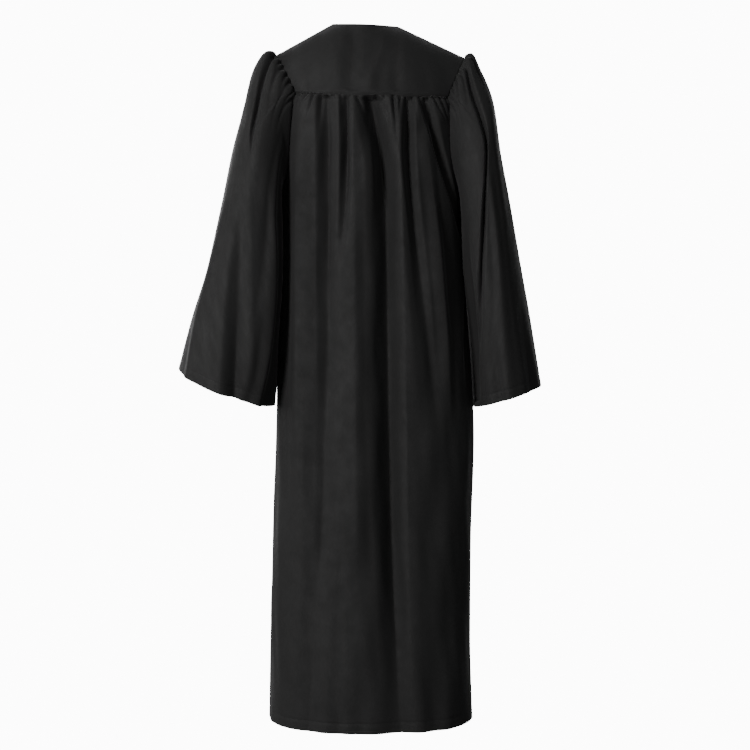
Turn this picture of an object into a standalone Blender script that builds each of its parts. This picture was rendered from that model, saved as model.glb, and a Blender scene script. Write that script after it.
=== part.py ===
"""Graduation gown, worn and empty: yokes, gathered body, bell sleeves and front zip.

Metres, +Z up. The front faces -Y and the wearer's left is +X. The origin lies midway
between the shoulder points, where the shoulders carry the gown.
"""
import math

import bmesh
import bpy
import numpy as np

# Cloth and seams
WALL = 0.002                 # cloth wall
TAPE_WALL = 0.001            # zip tape
SEAM_GAP = 0.0003            # between two pieces that are sewn together
MITRE_LIMIT = 1.8            # how far a wall may lean out to meet its neighbour at a seam

# Heights above and below the shoulder points
HEM_SIDE_Z = -1.213          # hem at the side seams
HEM_BOW = 0.011              # the hem hangs this much lower at the back and front middle
UNDERARM_Z = -0.270
YOKE_SEAM_LEFT_Z = -0.078    # back yoke seam at the left armhole
YOKE_SEAM_RIGHT_Z = -0.086   # and at the right one
YOKE_SEAM_SAG = 0.004        # the seam's middle hangs this much lower
FRONT_SEAM_Z = -0.090        # front yoke seam
V_BOTTOM_Z = -0.045          # lowest point of the V neck
ZIP_END_Z = -0.600           # the front is sewn shut below this
ZIP_FADE = 0.050             # length over which the zip's slot closes

# Neck and shoulder points, as x, y, z
NECK_LEFT = (0.0675, 0.000, 0.0610)
NECK_RIGHT = (-0.0530, 0.000, 0.0560)
NECK_BACK_Y = 0.045
NECK_BACK_Z = 0.0510
SHOULDER_LEFT = (0.1720, 0.000, 0.0030)
SHOULDER_RIGHT = (-0.1765, 0.000, -0.0025)

# Widths
SLOT_HALF = 0.003            # half the slot between the fronts, where the zip shows
BODY_ROUNDNESS = 2.25        # exponent of the body's rounded sections
NECK_FULLNESS = 0.55         # how flat the back yoke runs below the neck
NECK_FRONT_ROUND = 0.85      # how round the V's edges run over the chest
V_SHARE = 0.72               # share of a front yoke's inner edge that lies on the V

# Grid counts
SHOULDER_COLUMNS = 17        # also the columns of each front
NECK_COLUMNS = 18
YOKE_ROWS = 6
YOKE_EASING = 14             # rounds of smoothing inside the back yoke
FRONT_EASING = 3             # and inside the front yokes
ARMHOLE_ROWS = 10
SKIRT_ROWS = 9
FINE_ARMHOLE_ROWS = 5        # armhole rows beside which the sleeve has two columns each
BACK_DROP = 0.015            # rows of the back hang this much lower in the middle
FRONT_DROP = 0.010           # and those of the fronts
ARMHOLE_CROWDING = 1.5       # rows lie closer together near the yoke seam
SLEEVE_RINGS = (0.0, 0.018, 0.045, 0.085, 0.14, 0.21, 0.30, 0.40, 0.52, 0.64, 0.76, 0.88, 1.0)

# Sections of the body: half widths to the left and right, depths to the back and front
BODY_COLUMNS = ("height", "left", "right", "back", "front")
BODY_SECTIONS = (
    (-0.045, 0.1670, 0.1670, 0.092, 0.078),
    (-0.087, 0.1670, 0.1670, 0.100, 0.085),
    (-0.150, 0.1670, 0.1670, 0.108, 0.094),
    (-0.270, 0.1675, 0.1700, 0.112, 0.104),
    (-0.420, 0.1690, 0.1760, 0.114, 0.110),
    (-0.600, 0.1705, 0.1890, 0.119, 0.114),
    (-0.700, 0.1725, 0.1925, 0.122, 0.116),
    (-0.900, 0.1785, 0.1870, 0.127, 0.119),
    (-1.060, 0.1820, 0.1855, 0.131, 0.122),
    (-1.225, 0.1850, 0.1900, 0.134, 0.125),
)

# The armhole on the body, from the yoke seam to the underarm: angle round the body
# from the side, and height. The front one is mirrored to the front.
ARMHOLE_COLUMNS = ("step", "angle", "height")
ARMHOLE_BACK_LEFT = (
    (0.0, 38.5, -0.078),
    (0.2, 34.5, -0.118),
    (0.4, 31.0, -0.160),
    (0.6, 28.0, -0.203),
    (0.8, 18.0, -0.246),
    (1.0, 0.0, -0.270),
)
ARMHOLE_BACK_RIGHT = (
    (0.0, 33.0, -0.086),
    (0.2, 31.5, -0.125),
    (0.4, 29.5, -0.164),
    (0.6, 26.5, -0.204),
    (0.8, 17.0, -0.246),
    (1.0, 0.0, -0.270),
)
ARMHOLE_FRONT = (
    (0.0, 44.0, FRONT_SEAM_Z),
    (0.2, 40.0, -0.124),
    (0.4, 36.0, -0.162),
    (0.6, 30.0, -0.203),
    (0.8, 18.0, -0.246),
    (1.0, 0.0, UNDERARM_Z),
)

# Sections of each sleeve: the outer and inner point of a slanted ring, the middle's
# place in Y, the half depths to the back and front, and how much lower those two hang
RING_COLUMNS = ("step", "out_x", "out_z", "in_x", "in_z", "mid_y", "back", "front", "sag")
LEFT_RINGS = (
    (0.00, 0.1720, 0.003, 0.1680, -0.270, 0.000, 0.080, 0.080, 0.000),
    (0.04, 0.1870, 0.007, 0.1720, -0.284, 0.004, 0.086, 0.084, 0.000),
    (0.10, 0.2120, -0.026, 0.1620, -0.305, 0.012, 0.090, 0.088, 0.000),
    (0.20, 0.2285, -0.090, 0.1540, -0.345, 0.020, 0.091, 0.092, 0.000),
    (0.35, 0.2495, -0.172, 0.1530, -0.400, 0.026, 0.090, 0.095, 0.000),
    (0.50, 0.2715, -0.283, 0.1565, -0.455, 0.028, 0.091, 0.098, 0.000),
    (0.66, 0.2970, -0.394, 0.1630, -0.520, 0.025, 0.095, 0.101, 0.005),
    (0.83, 0.3250, -0.480, 0.1650, -0.585, 0.022, 0.100, 0.104, 0.012),
    (1.00, 0.3495, -0.5735, 0.1700, -0.640, 0.016, 0.104, 0.107, 0.019),
)
RIGHT_RINGS = (
    (0.00, 0.1765, -0.0025, 0.1700, -0.270, 0.000, 0.080, 0.080, 0.000),
    (0.04, 0.1870, 0.003, 0.1740, -0.284, 0.004, 0.086, 0.084, 0.000),
    (0.10, 0.2045, -0.028, 0.1690, -0.305, 0.010, 0.092, 0.088, 0.000),
    (0.20, 0.2275, -0.090, 0.1670, -0.345, 0.016, 0.096, 0.093, 0.000),
    (0.35, 0.2415, -0.180, 0.1690, -0.400, 0.020, 0.099, 0.098, 0.000),
    (0.50, 0.2595, -0.283, 0.1730, -0.455, 0.020, 0.103, 0.104, 0.000),
    (0.66, 0.2775, -0.394, 0.1790, -0.520, 0.016, 0.108, 0.110, 0.002),
    (0.83, 0.2945, -0.485, 0.1850, -0.585, 0.010, 0.113, 0.116, 0.003),
    (1.00, 0.3165, -0.605, 0.1900, -0.646, 0.004, 0.118, 0.120, 0.005),
)
SLEEVE_CLEAR = 0.0060        # sleeve middle surface to body middle surface, at least
SLEEVE_CLEAR_RUN = 0.03      # share of the sleeve over which that clearance opens

# Folds. Each has its start and end, its place at four knots along the run, its width
# to the wearer's left and right, and its depth at the knots. A minus depth is a ridge.
KNOTS = (0.0, 0.12, 0.55, 1.0)
SEAM_FADE = 0.014            # folds start from nothing at a seam and open over this
# Back folds: top and bottom height, x at the knots
BACK_FOLDS = (
    (-0.084, -0.130, 0.110, 0.112, 0.124, 0.130, 0.008, 0.008, 0.004, 0.004, 0.003, 0),
    (-0.084, -0.142, 0.096, 0.098, 0.106, 0.113, 0.008, 0.008, 0.004, 0.005, 0.004, 0),
    (-0.086, -1.225, 0.078, 0.076, 0.067, 0.082, 0.028, 0.026, 0.005, 0.009, 0.011, 0.010),
    (-0.084, -0.420, 0.042, 0.042, 0.0435, 0.062, 0.015, 0.012, 0.006, 0.008, 0.007, 0),
    (-0.088, -0.150, 0.021, 0.020, 0.004, -0.004, 0.010, 0.010, 0.003, 0.004, 0.002, 0),
    (-0.088, -1.225, -0.003, -0.0335, -0.038, -0.060, 0.028, 0.017, 0.009, 0.016, 0.018, 0.007),
    (-0.088, -0.160, -0.051, -0.051, -0.052, -0.052, 0.009, 0.009, 0.004, 0.005, 0.003, 0),
    (-0.090, -0.760, -0.0745, -0.071, -0.1138, -0.138, 0.018, 0.016, 0.007, 0.010, 0.008, 0),
    (-0.090, -0.640, -0.1005, -0.122, -0.172, -0.180, 0.018, 0.016, 0.006, 0.009, 0.007, 0),
    (-0.092, -0.150, -0.127, -0.130, -0.143, -0.148, 0.009, 0.009, 0.003, 0.004, 0.002, 0),
    (-0.300, -0.980, 0.036, 0.035, 0.034, 0.040, 0.030, 0.026, 0, -0.002, -0.004, 0),
    (-0.560, -1.225, -0.120, -0.126, -0.132, -0.140, 0.030, 0.026, 0, 0.003, 0.006, 0.009),
    (-0.760, -1.225, 0.030, 0.030, 0.024, 0.016, 0.030, 0.034, 0, -0.001, -0.003, -0.004),
    (-0.700, -1.225, -0.084, -0.085, -0.090, -0.096, 0.022, 0.022, 0, -0.001, -0.003, -0.004),
)
FRONT_FOLDS = (
    (-0.092, -0.180, 0.128, 0.130, 0.136, 0.140, 0.009, 0.009, 0.004, 0.005, 0.003, 0),
    (-0.092, -0.760, 0.104, 0.108, 0.122, 0.134, 0.018, 0.020, 0.006, 0.008, 0.006, 0),
    (-0.092, -0.170, 0.086, 0.086, 0.089, 0.092, 0.009, 0.009, 0.004, 0.005, 0.003, 0),
    (-0.092, -1.225, 0.065, 0.068, 0.078, 0.092, 0.024, 0.028, 0.007, 0.011, 0.013, 0.014),
    (-0.092, -0.200, 0.051, 0.051, 0.053, 0.056, 0.009, 0.009, 0.004, 0.005, 0.003, 0),
    (-0.092, -1.225, 0.036, 0.037, 0.040, 0.044, 0.014, 0.012, 0.005, 0.007, 0.007, 0.006),
    (-0.092, -1.225, -0.038, -0.039, -0.042, -0.048, 0.012, 0.015, 0.005, 0.007, 0.008, 0.008),
    (-0.092, -0.210, -0.054, -0.055, -0.057, -0.060, 0.009, 0.009, 0.004, 0.005, 0.003, 0),
    (-0.092, -1.225, -0.070, -0.073, -0.086, -0.098, 0.026, 0.024, 0.007, 0.012, 0.012, 0.012),
    (-0.092, -0.160, -0.090, -0.091, -0.094, -0.098, 0.009, 0.009, 0.004, 0.005, 0.003, 0),
    (-0.092, -0.820, -0.108, -0.113, -0.128, -0.142, 0.019, 0.018, 0.006, 0.009, 0.007, 0),
    (-0.092, -0.170, -0.130, -0.131, -0.137, -0.142, 0.009, 0.009, 0.004, 0.004, 0.003, 0),
    (-0.620, -1.225, 0.135, 0.136, 0.140, 0.146, 0.026, 0.024, 0, 0.002, 0.005, 0.007),
    (-0.700, -1.225, -0.136, -0.138, -0.142, -0.146, 0.024, 0.022, 0, 0.002, 0.005, 0.006),
)
# Sleeve folds: start and end along the sleeve, angle in degrees at the knots, where 0 is
# the outer line, 90 the back, 180 the inner line and -90 the front
LEFT_SLEEVE_FOLDS = (
    (0.00, 0.21, 12, 21, 53, 70, 0.014, 0.012, 0.004, 0.008, 0.007, 0),
    (0.00, 0.14, 40, 46, 66, 80, 0.010, 0.010, 0.004, 0.005, 0.003, 0),
    (0.38, 1.00, 66, 71, 90, 104, 0.028, 0.034, 0, 0.005, 0.012, 0.014),
    (0.05, 1.00, 102, 110, 124, 129, 0.042, 0.020, -0.002, -0.005, -0.009, -0.007),
    (0.24, 1.00, 30, 29, 30, 42, 0.024, 0.026, 0, -0.002, -0.004, -0.004),
    (0.00, 0.30, -12, -20, -48, -66, 0.014, 0.012, 0.003, 0.006, 0.006, 0),
    (0.00, 0.14, -42, -48, -62, -72, 0.010, 0.010, 0.003, 0.004, 0.003, 0),
    (0.26, 1.00, -52, -54, -60, -64, 0.028, 0.028, 0, 0.005, 0.009, 0.011),
    (0.40, 1.00, -104, -104, -108, -110, 0.026, 0.024, 0, 0.004, 0.007, 0.009),
)
RIGHT_SLEEVE_FOLDS = (
    (0.03, 0.75, 20, 39, 92, 140, 0.016, 0.017, 0.003, 0.008, 0.012, 0.006),
    (0.00, 0.14, 32, 38, 60, 74, 0.010, 0.010, 0.004, 0.005, 0.003, 0),
    (0.30, 1.00, 70, 72, 84, 96, 0.024, 0.024, 0, -0.003, -0.005, -0.004),
    (0.50, 1.00, 38, 38, 44, 50, 0.024, 0.026, 0, 0.002, 0.006, 0.008),
    (0.00, 0.32, -16, -24, -50, -64, 0.014, 0.012, 0.003, 0.006, 0.006, 0),
    (0.00, 0.14, -44, -50, -64, -74, 0.010, 0.010, 0.003, 0.004, 0.003, 0),
    (0.30, 1.00, -46, -48, -56, -60, 0.028, 0.026, 0, 0.005, 0.010, 0.012),
    (0.44, 1.00, -100, -102, -106, -108, 0.024, 0.026, 0, 0.004, 0.007, 0.008),
)
SLEEVE_CALM = (132.0, 160.0)  # sleeve folds die out between these angles, beside the body
SLEEVE_HEAD_RUN = 0.22       # share of the sleeve over which the armhole's shape dies out
SIDE_CALM = 0.45             # body folds die out towards the side seams below this sine

# Zip: tape, chain, slider and pull tab
TAPE_HALF = 0.011
CHAIN_HALF = 0.0023
CHAIN_RISE = 0.0016
CHAIN_FLANK = 0.0003         # width of the chain's slanted flanks
TAPE_BELOW_V = 0.001
TAPE_PAST_ZIP = 0.012        # tape's end below the end of the zip
TAPE_STEP = 0.004            # least height of the tape's first row
TAPE_SET_BACK = 0.0020       # tape middle surface behind the middle surface of the fronts
SLIDER_Z = -0.056            # middle of the slider, just under the V
SLIDER_WIDTH = 0.0090
SLIDER_LENGTH = 0.0120
SLIDER_PLATE = 0.0012
SLIDER_STAND = 0.0014        # plate's back face ahead of the fronts' middle surface
LUG_GAP = 0.0034             # between the slider's two lugs
LUG_THICK = 0.0011
LUG_LENGTH = 0.0036
PIN_RADIUS = 0.0006
PIN_STAND = 0.0030           # pin axis ahead of the plate's front face
EYE_HOLE = 0.0010
EYE_RADIUS = 0.0019
EYE_WIDTH = 0.0026
TAB_WIDTH = 0.0060
TAB_LENGTH = 0.0260
TAB_THICK = 0.0013
TAB_END_ROUND = 0.0026
PIN_UP = 0.0030              # pin axis above the slider's middle
CORE_INSET = 0.0012          # slider's core short of the plate's ends
CORE_DEPTH = 0.0010          # and how far it reaches back towards the chain
LUG_PAST_PIN = 0.0014
BLADE_START = 0.0052         # blade of the tab below the pin's axis
SUNK = 0.0005                # how deep one part of the slider or tab starts in the next


def smooth_step(value):
    """Rise from 0 to 1 with flat ends."""
    part = min(max(value, 0.0), 1.0)
    return part * part * (3.0 - 2.0 * part)


def monotone(knots, values, place):
    """Read a table between its rows along a smooth curve that never overshoots."""
    if place <= knots[0]:
        return values[0]
    if place >= knots[-1]:
        return values[-1]
    index = max(k for k in range(len(knots) - 1) if knots[k] <= place)
    slopes = [(values[k + 1] - values[k]) / (knots[k + 1] - knots[k]) for k in range(len(knots) - 1)]
    ends = []
    for k in (index, index + 1):
        before = slopes[max(k - 1, 0)]
        after = slopes[min(k, len(slopes) - 1)]
        ends.append(2.0 * before * after / (before + after) if before * after > 0.0 else 0.0)
    if index == 0:
        ends[0] = slopes[0]
    if index == len(slopes) - 1:
        ends[1] = slopes[-1]
    width = knots[index + 1] - knots[index]
    t = (place - knots[index]) / width
    rise = values[index + 1] - values[index]
    start = values[index] + t * t * (3.0 - 2.0 * t) * rise
    return start + width * (t * (1.0 - t) ** 2 * ends[0] - t * t * (1.0 - t) * ends[1])


class Table:
    """A short table with named columns, read smoothly along its first column."""

    def __init__(self, names, rows):
        order = sorted(rows)
        self.columns = {name: [row[k] for row in order] for k, name in enumerate(names)}
        self.knots = self.columns[names[0]]

    def read(self, name, place):
        return monotone(self.knots, self.columns[name], place)


BODY = Table(BODY_COLUMNS, BODY_SECTIONS)


def body_point(angle, height):
    """Point on the body's section: 0 degrees is the left side, 90 the back middle."""
    c = math.cos(math.radians(angle))
    s = math.sin(math.radians(angle))
    power = 2.0 / BODY_ROUNDNESS
    side = BODY.read("left" if c > 0.0 else "right", height)
    depth = BODY.read("back" if s > 0.0 else "front", height)
    x = math.copysign(abs(c) ** power, c) * side
    y = math.copysign(abs(s) ** power, s) * depth
    return np.array((x, y, height))


def body_angle(x, height, front):
    """Angle at which the section at this height has this x, on the back or the front."""
    side = BODY.read("left" if x > 0.0 else "right", height)
    share = min(abs(x) / side, 0.999) ** (BODY_ROUNDNESS / 2.0)
    angle = math.degrees(math.acos(math.copysign(share, x)))
    return -angle if front else angle


def body_normal(angle, height):
    """Level outward direction of the body's section."""
    ahead = body_point(angle + 0.5, height) - body_point(angle - 0.5, height)
    normal = np.array((ahead[1], -ahead[0], 0.0))
    return normal / np.linalg.norm(normal)


def bell(distance, left, right):
    """Soft trough across a fold, wide or narrow on either side of its middle line."""
    reach = left if distance > 0.0 else right
    if abs(distance) >= reach:
        return 0.0
    return 0.5 * (1.0 + math.cos(math.pi * distance / reach))


def fold_state(fold, place):
    """Middle line and depth of a fold at this place along its run, or None beyond it."""
    start, end = fold[0], fold[1]
    share = (place - start) / (end - start)
    if share < 0.0 or share > 1.0:
        return None
    return monotone(KNOTS, fold[2:6], share), monotone(KNOTS, fold[8:12], share)


def body_relief(angle, height, below_seam):
    """Inward shift of the body cloth from all the folds that cross this point."""
    front = math.sin(math.radians(angle)) < 0.0
    total = 0.0
    for fold in FRONT_FOLDS if front else BACK_FOLDS:
        state = fold_state(fold, height)
        if state is None:
            continue
        line = body_angle(state[0], height, front)
        c = math.cos(math.radians(line))
        s = math.sin(math.radians(line))
        side = BODY.read("left", height)
        depth = BODY.read("back", height)
        spread = math.hypot(side * s, depth * c)
        away = math.radians(line - angle) if not front else math.radians(angle - line)
        total += state[1] * bell(away * spread, fold[6], fold[7])
    return total * smooth_step(below_seam / SEAM_FADE)


def body_cloth(angle, height, below_seam=1.0):
    """Point of the folded body cloth."""
    quiet = smooth_step(abs(math.sin(math.radians(angle))) / SIDE_CALM)
    shift = body_relief(angle, height, below_seam) * quiet
    return body_point(angle, height) - body_normal(angle, height) * shift


def armhole_step(row):
    """Share of the armhole's edge on the body at this row of the panels."""
    return (row / ARMHOLE_ROWS) ** ARMHOLE_CROWDING


def armhole_edge(side, front, step):
    """Angle and height of the armhole's edge on the body."""
    back = ARMHOLE_BACK_LEFT if side > 0 else ARMHOLE_BACK_RIGHT
    table = Table(ARMHOLE_COLUMNS, ARMHOLE_FRONT if front else back)
    angle = table.read("angle", step)
    height = table.read("height", step)
    if side < 0:
        angle = 180.0 - angle
    return (-angle if front else angle), height


def yoke_seam_height(share):
    """Height of the back yoke seam from the left armhole, 0, to the right one, 1."""
    slope = YOKE_SEAM_LEFT_Z + (YOKE_SEAM_RIGHT_Z - YOKE_SEAM_LEFT_Z) * share
    return slope - YOKE_SEAM_SAG * math.sin(math.pi * share)


def quarter_turn(step, roundness):
    """Shares run back and down a yoke that leaves the shoulder level and ends upright."""
    turn = 0.5 * math.pi * step
    back = roundness * math.sin(turn) + (1.0 - roundness) * step
    down = roundness * (1.0 - math.cos(turn)) + (1.0 - roundness) * step
    return back, down


def yoke_column(top, bottom, roundness):
    """One column of a yoke, from the shoulder or neck down to its seam."""
    points = []
    for row in range(YOKE_ROWS + 1):
        back, down = quarter_turn(row / YOKE_ROWS, roundness)
        x = top[0] + (bottom[0] - top[0]) * down
        y = top[1] + (bottom[1] - top[1]) * back
        z = top[2] + (bottom[2] - top[2]) * down
        points.append((x, y, z))
    return points


def between(start, end, share):
    return np.array(start) + (np.array(end) - np.array(start)) * share


def neck_back_point(share):
    """Back neck edge from the left neck point, 0, to the right one, 1."""
    point = between(NECK_LEFT, NECK_RIGHT, share)
    bow = math.sin(math.pi * share) ** 1.2
    point[1] += NECK_BACK_Y * bow
    point[2] += (NECK_BACK_Z - 0.5 * (NECK_LEFT[2] + NECK_RIGHT[2])) * bow
    return point


def eased(grid, rounds):
    """Smooth the points inside a grid and leave its edges where they are."""
    for _ in range(rounds):
        middle = 0.25 * (grid[:-2, 1:-1] + grid[2:, 1:-1] + grid[1:-1, :-2] + grid[1:-1, 2:])
        grid[1:-1, 1:-1] = 0.5 * grid[1:-1, 1:-1] + 0.5 * middle
    return grid


def back_yoke_points():
    """Back yoke: its columns run from the left armhole to the right one."""
    count = 2 * SHOULDER_COLUMNS + NECK_COLUMNS
    columns = []
    for column in range(count + 1):
        share = column / count
        if column <= SHOULDER_COLUMNS:
            top = between(SHOULDER_LEFT, NECK_LEFT, column / SHOULDER_COLUMNS)
        elif column < SHOULDER_COLUMNS + NECK_COLUMNS:
            top = neck_back_point((column - SHOULDER_COLUMNS) / NECK_COLUMNS)
        else:
            past = column - SHOULDER_COLUMNS - NECK_COLUMNS
            top = between(NECK_RIGHT, SHOULDER_RIGHT, past / SHOULDER_COLUMNS)
        left_angle, left_z = armhole_edge(1, False, 0.0)
        right_angle, right_z = armhole_edge(-1, False, 0.0)
        angle = left_angle + (right_angle - left_angle) * share
        bottom = body_point(angle, yoke_seam_height(share))
        roundness = 1.0 - NECK_FULLNESS * max(top[1], 0.0) / NECK_BACK_Y
        columns.append(yoke_column(top, bottom, roundness))
    return eased(np.array(columns).transpose(1, 0, 2), YOKE_EASING)


def front_seam_height(share):
    """Height of the front yoke seams, the same all along."""
    return FRONT_SEAM_Z


def slot_x(height):
    """Half width of the slot between the fronts."""
    return SLOT_HALF * smooth_step((height - ZIP_END_Z + ZIP_FADE) / ZIP_FADE)


def front_seam_angle(side, share):
    """Angle of the front yoke seam from the armhole, 0, to the middle, 1."""
    start, height = armhole_edge(side, True, 0.0)
    end = body_angle(side * SLOT_HALF, height, True)
    return start + (end - start) * share


def neck_front_point(side, step):
    """Front edge of a front yoke: down the V, then beside the zip."""
    neck = NECK_LEFT if side > 0 else NECK_RIGHT
    turn = V_SHARE
    valley = np.array((side * SLOT_HALF, -BODY.read("front", V_BOTTOM_Z), V_BOTTOM_Z))
    end = body_point(front_seam_angle(side, 1.0), FRONT_SEAM_Z)
    if step > turn:
        return between(valley, end, (step - turn) / (1.0 - turn))
    back, down = quarter_turn(step / turn, NECK_FRONT_ROUND)
    return np.array(neck) + (valley - np.array(neck)) * np.array((down, back, down))


def front_yoke_points(side):
    """Front yoke: columns from the armhole to the neck, blended from its four edges."""
    shoulder = SHOULDER_LEFT if side > 0 else SHOULDER_RIGHT
    neck = NECK_LEFT if side > 0 else NECK_RIGHT
    corner = body_point(*armhole_edge(side, True, 0.0))
    armhole = yoke_column(shoulder, corner, 1.0)
    grid = []
    for row in range(YOKE_ROWS + 1):
        v = row / YOKE_ROWS
        line = []
        for column in range(SHOULDER_COLUMNS + 1):
            u = column / SHOULDER_COLUMNS
            top = between(shoulder, neck, u)
            bottom = body_point(front_seam_angle(side, u), FRONT_SEAM_Z)
            back, down = quarter_turn(v, 1.0 - 0.4 * u)
            centre = neck_front_point(side, v)
            across = between(armhole[row], centre, u)
            ends = np.array((down, back, down))
            run = top + (bottom - top) * ends
            first_run = np.array(shoulder) + (corner - np.array(shoulder)) * ends
            last_run = np.array(neck) + (neck_front_point(side, 1.0) - np.array(neck)) * ends
            line.append(across + run - between(first_run, last_run, u))
        grid.append(line)
    return eased(np.array(grid), FRONT_EASING)


def panel_points(edges, columns, seam_height, middle_drop):
    """Body panel from its yoke seam to the hem, from its first side edge to its second.

    edges gives, for a row, the angle and height at both ends of that row.
    """
    grid = []
    for row in range(ARMHOLE_ROWS + SKIRT_ROWS + 1):
        first, second = edges(row)
        line = []
        for column in range(columns + 1):
            share = column / columns
            angle = first[0] + (second[0] - first[0]) * share
            height = first[1] + (second[1] - first[1]) * share
            seam = seam_height(share)
            if row <= ARMHOLE_ROWS:
                step = armhole_step(row)
                plain = seam + (UNDERARM_Z - middle_drop - seam) * step
                ends = abs(2.0 * share - 1.0) ** 3 if second[2] else (1.0 - share) ** 3
                height = plain + (height - plain) * ends
                if row == 0:
                    height = seam
            else:
                run = (row - ARMHOLE_ROWS) / SKIRT_ROWS
                inner = abs(2.0 * share - 1.0) ** 3 if second[2] else (1.0 - share) ** 3
                height -= (middle_drop * (1.0 - run) + HEM_BOW * run) * (1.0 - inner)
            line.append(body_cloth(angle, height, seam - height))
        grid.append(line)
    return np.array(grid)


def side_height(row):
    """Height of a row's end on the side seam, from the underarm to the hem."""
    run = (row - ARMHOLE_ROWS) / SKIRT_ROWS
    return UNDERARM_Z + (HEM_SIDE_Z - UNDERARM_Z) * run


def back_edges(row):
    if row <= ARMHOLE_ROWS:
        left = armhole_edge(1, False, armhole_step(row))
        right = armhole_edge(-1, False, armhole_step(row))
    else:
        left = (0.0, side_height(row))
        right = (180.0, side_height(row))
    return (left[0], left[1], True), (right[0], right[1], True)


def front_edges(side):
    """Edge function of one front: the armhole and side seam, then the middle."""
    def edges(row):
        if row <= ARMHOLE_ROWS:
            outer = armhole_edge(side, True, armhole_step(row))
            middle = FRONT_SEAM_Z + (UNDERARM_Z - FRONT_DROP - FRONT_SEAM_Z) * armhole_step(row)
        else:
            outer = (0.0 if side > 0 else -180.0, side_height(row))
            run = (row - ARMHOLE_ROWS) / SKIRT_ROWS
            middle = side_height(row) - FRONT_DROP * (1.0 - run) - HEM_BOW * run
        inner = body_angle(side * max(slot_x(middle), 1e-9), middle, True)
        inner_height = side_height(row) if row > ARMHOLE_ROWS else middle
        return (outer[0], outer[1], True), (inner, inner_height, False)
    return edges


def sleeve_ring_point(rings, side, step, angle):
    """Point on a sleeve's slanted section: 0 degrees outer, 90 back, 180 inner."""
    outer = np.array((side * rings.read("out_x", step), 0.0, rings.read("out_z", step)))
    inner = np.array((side * rings.read("in_x", step), 0.0, rings.read("in_z", step)))
    middle = 0.5 * (outer + inner)
    middle[1] = rings.read("mid_y", step)
    s = math.sin(math.radians(angle))
    depth = rings.read("back" if s > 0.0 else "front", step)
    reach = (outer - inner) * 0.5 * math.cos(math.radians(angle))
    return middle + reach + np.array((0.0, depth * s, -rings.read("sag", step) * abs(s)))


def keep_clear_of_body(point, side, clear):
    """Move a sleeve point out along X until it clears the body's section."""
    if point[2] > FRONT_SEAM_Z:
        return point
    depth = BODY.read("back" if point[1] > 0.0 else "front", point[2]) + clear
    if abs(point[1]) >= depth:
        return point
    reach = BODY.read("left" if side > 0 else "right", point[2]) + clear
    edge = reach * (1.0 - (abs(point[1]) / depth) ** BODY_ROUNDNESS) ** (1.0 / BODY_ROUNDNESS)
    moved = np.array(point)
    moved[0] = side * max(abs(point[0]), edge)
    return moved


def armhole_loop(yoke_back, back, front, yoke_front):
    """Points round an armhole: back yoke, back, front and front yoke edges in turn."""
    loop = [yoke_back[k] for k in range(YOKE_ROWS)]
    loop += [back[k] for k in range(ARMHOLE_ROWS)]
    loop += [front[k] for k in range(ARMHOLE_ROWS, 0, -1)]
    loop += [yoke_front[k] for k in range(YOKE_ROWS, 0, -1)]
    return np.array(loop)


def finer_loop(loop):
    """Armhole points with one more midway along each stretch near the shoulder.

    Gives the points, the place of the underarm point and the places of the midway ones.
    """
    points = []
    midway = []
    underarm = 0
    for k, point in enumerate(loop):
        if k == YOKE_ROWS + ARMHOLE_ROWS:
            underarm = len(points)
        points.append(point)
        from_shoulder = min(k, len(loop) - 1 - k)
        if from_shoulder < YOKE_ROWS + FINE_ARMHOLE_ROWS:
            midway.append(len(points))
            points.append(0.5 * (point + loop[(k + 1) % len(loop)]))
    return np.array(points), underarm, midway


def loop_angles(loop, half):
    """Angle of each armhole point, in step with the length of cloth along the edge."""
    steps = [np.linalg.norm(loop[(k + 1) % len(loop)] - loop[k]) for k in range(len(loop))]
    down = sum(steps[:half])
    up = sum(steps[half:])
    angles = []
    for k in range(len(loop)):
        if k <= half:
            angles.append(180.0 * sum(steps[:k]) / down)
        else:
            angles.append(180.0 + 180.0 * sum(steps[half:k]) / up)
    return angles


def sleeve_points(side, loop, underarm):
    """Sleeve as rings from its armhole to its cuff."""
    rings = Table(RING_COLUMNS, LEFT_RINGS if side > 0 else RIGHT_RINGS)
    folds = LEFT_SLEEVE_FOLDS if side > 0 else RIGHT_SLEEVE_FOLDS
    angles = loop_angles(loop, underarm)
    grid = []
    for step in SLEEVE_RINGS:
        hold = 1.0 - smooth_step(step / SLEEVE_HEAD_RUN)
        line = []
        for seam, angle in zip(loop, angles):
            plain = sleeve_ring_point(rings, side, step, angle)
            start = sleeve_ring_point(rings, side, 0.0, angle)
            relief = sleeve_relief(folds, rings, step, angle)
            point = plain + (seam - start) * hold
            point = point - sleeve_outward(rings, side, step, angle) * relief
            if step > 0.0:
                clear = SLEEVE_CLEAR * smooth_step(step / SLEEVE_CLEAR_RUN)
                point = keep_clear_of_body(point, side, clear)
            line.append(point)
        grid.append(line)
    return np.array(grid)


def sleeve_outward(rings, side, step, angle):
    """Outward direction of a sleeve section in its own slanted plane."""
    ahead = sleeve_ring_point(rings, side, step, angle + 1.0)
    behind = sleeve_ring_point(rings, side, step, angle - 1.0)
    out = sleeve_ring_point(rings, side, step, angle) - 0.5 * (
        sleeve_ring_point(rings, side, step, 0.0) + sleeve_ring_point(rings, side, step, 180.0))
    along = (ahead - behind) / np.linalg.norm(ahead - behind)
    out = out - along * np.dot(out, along)
    return out / np.linalg.norm(out)


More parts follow.
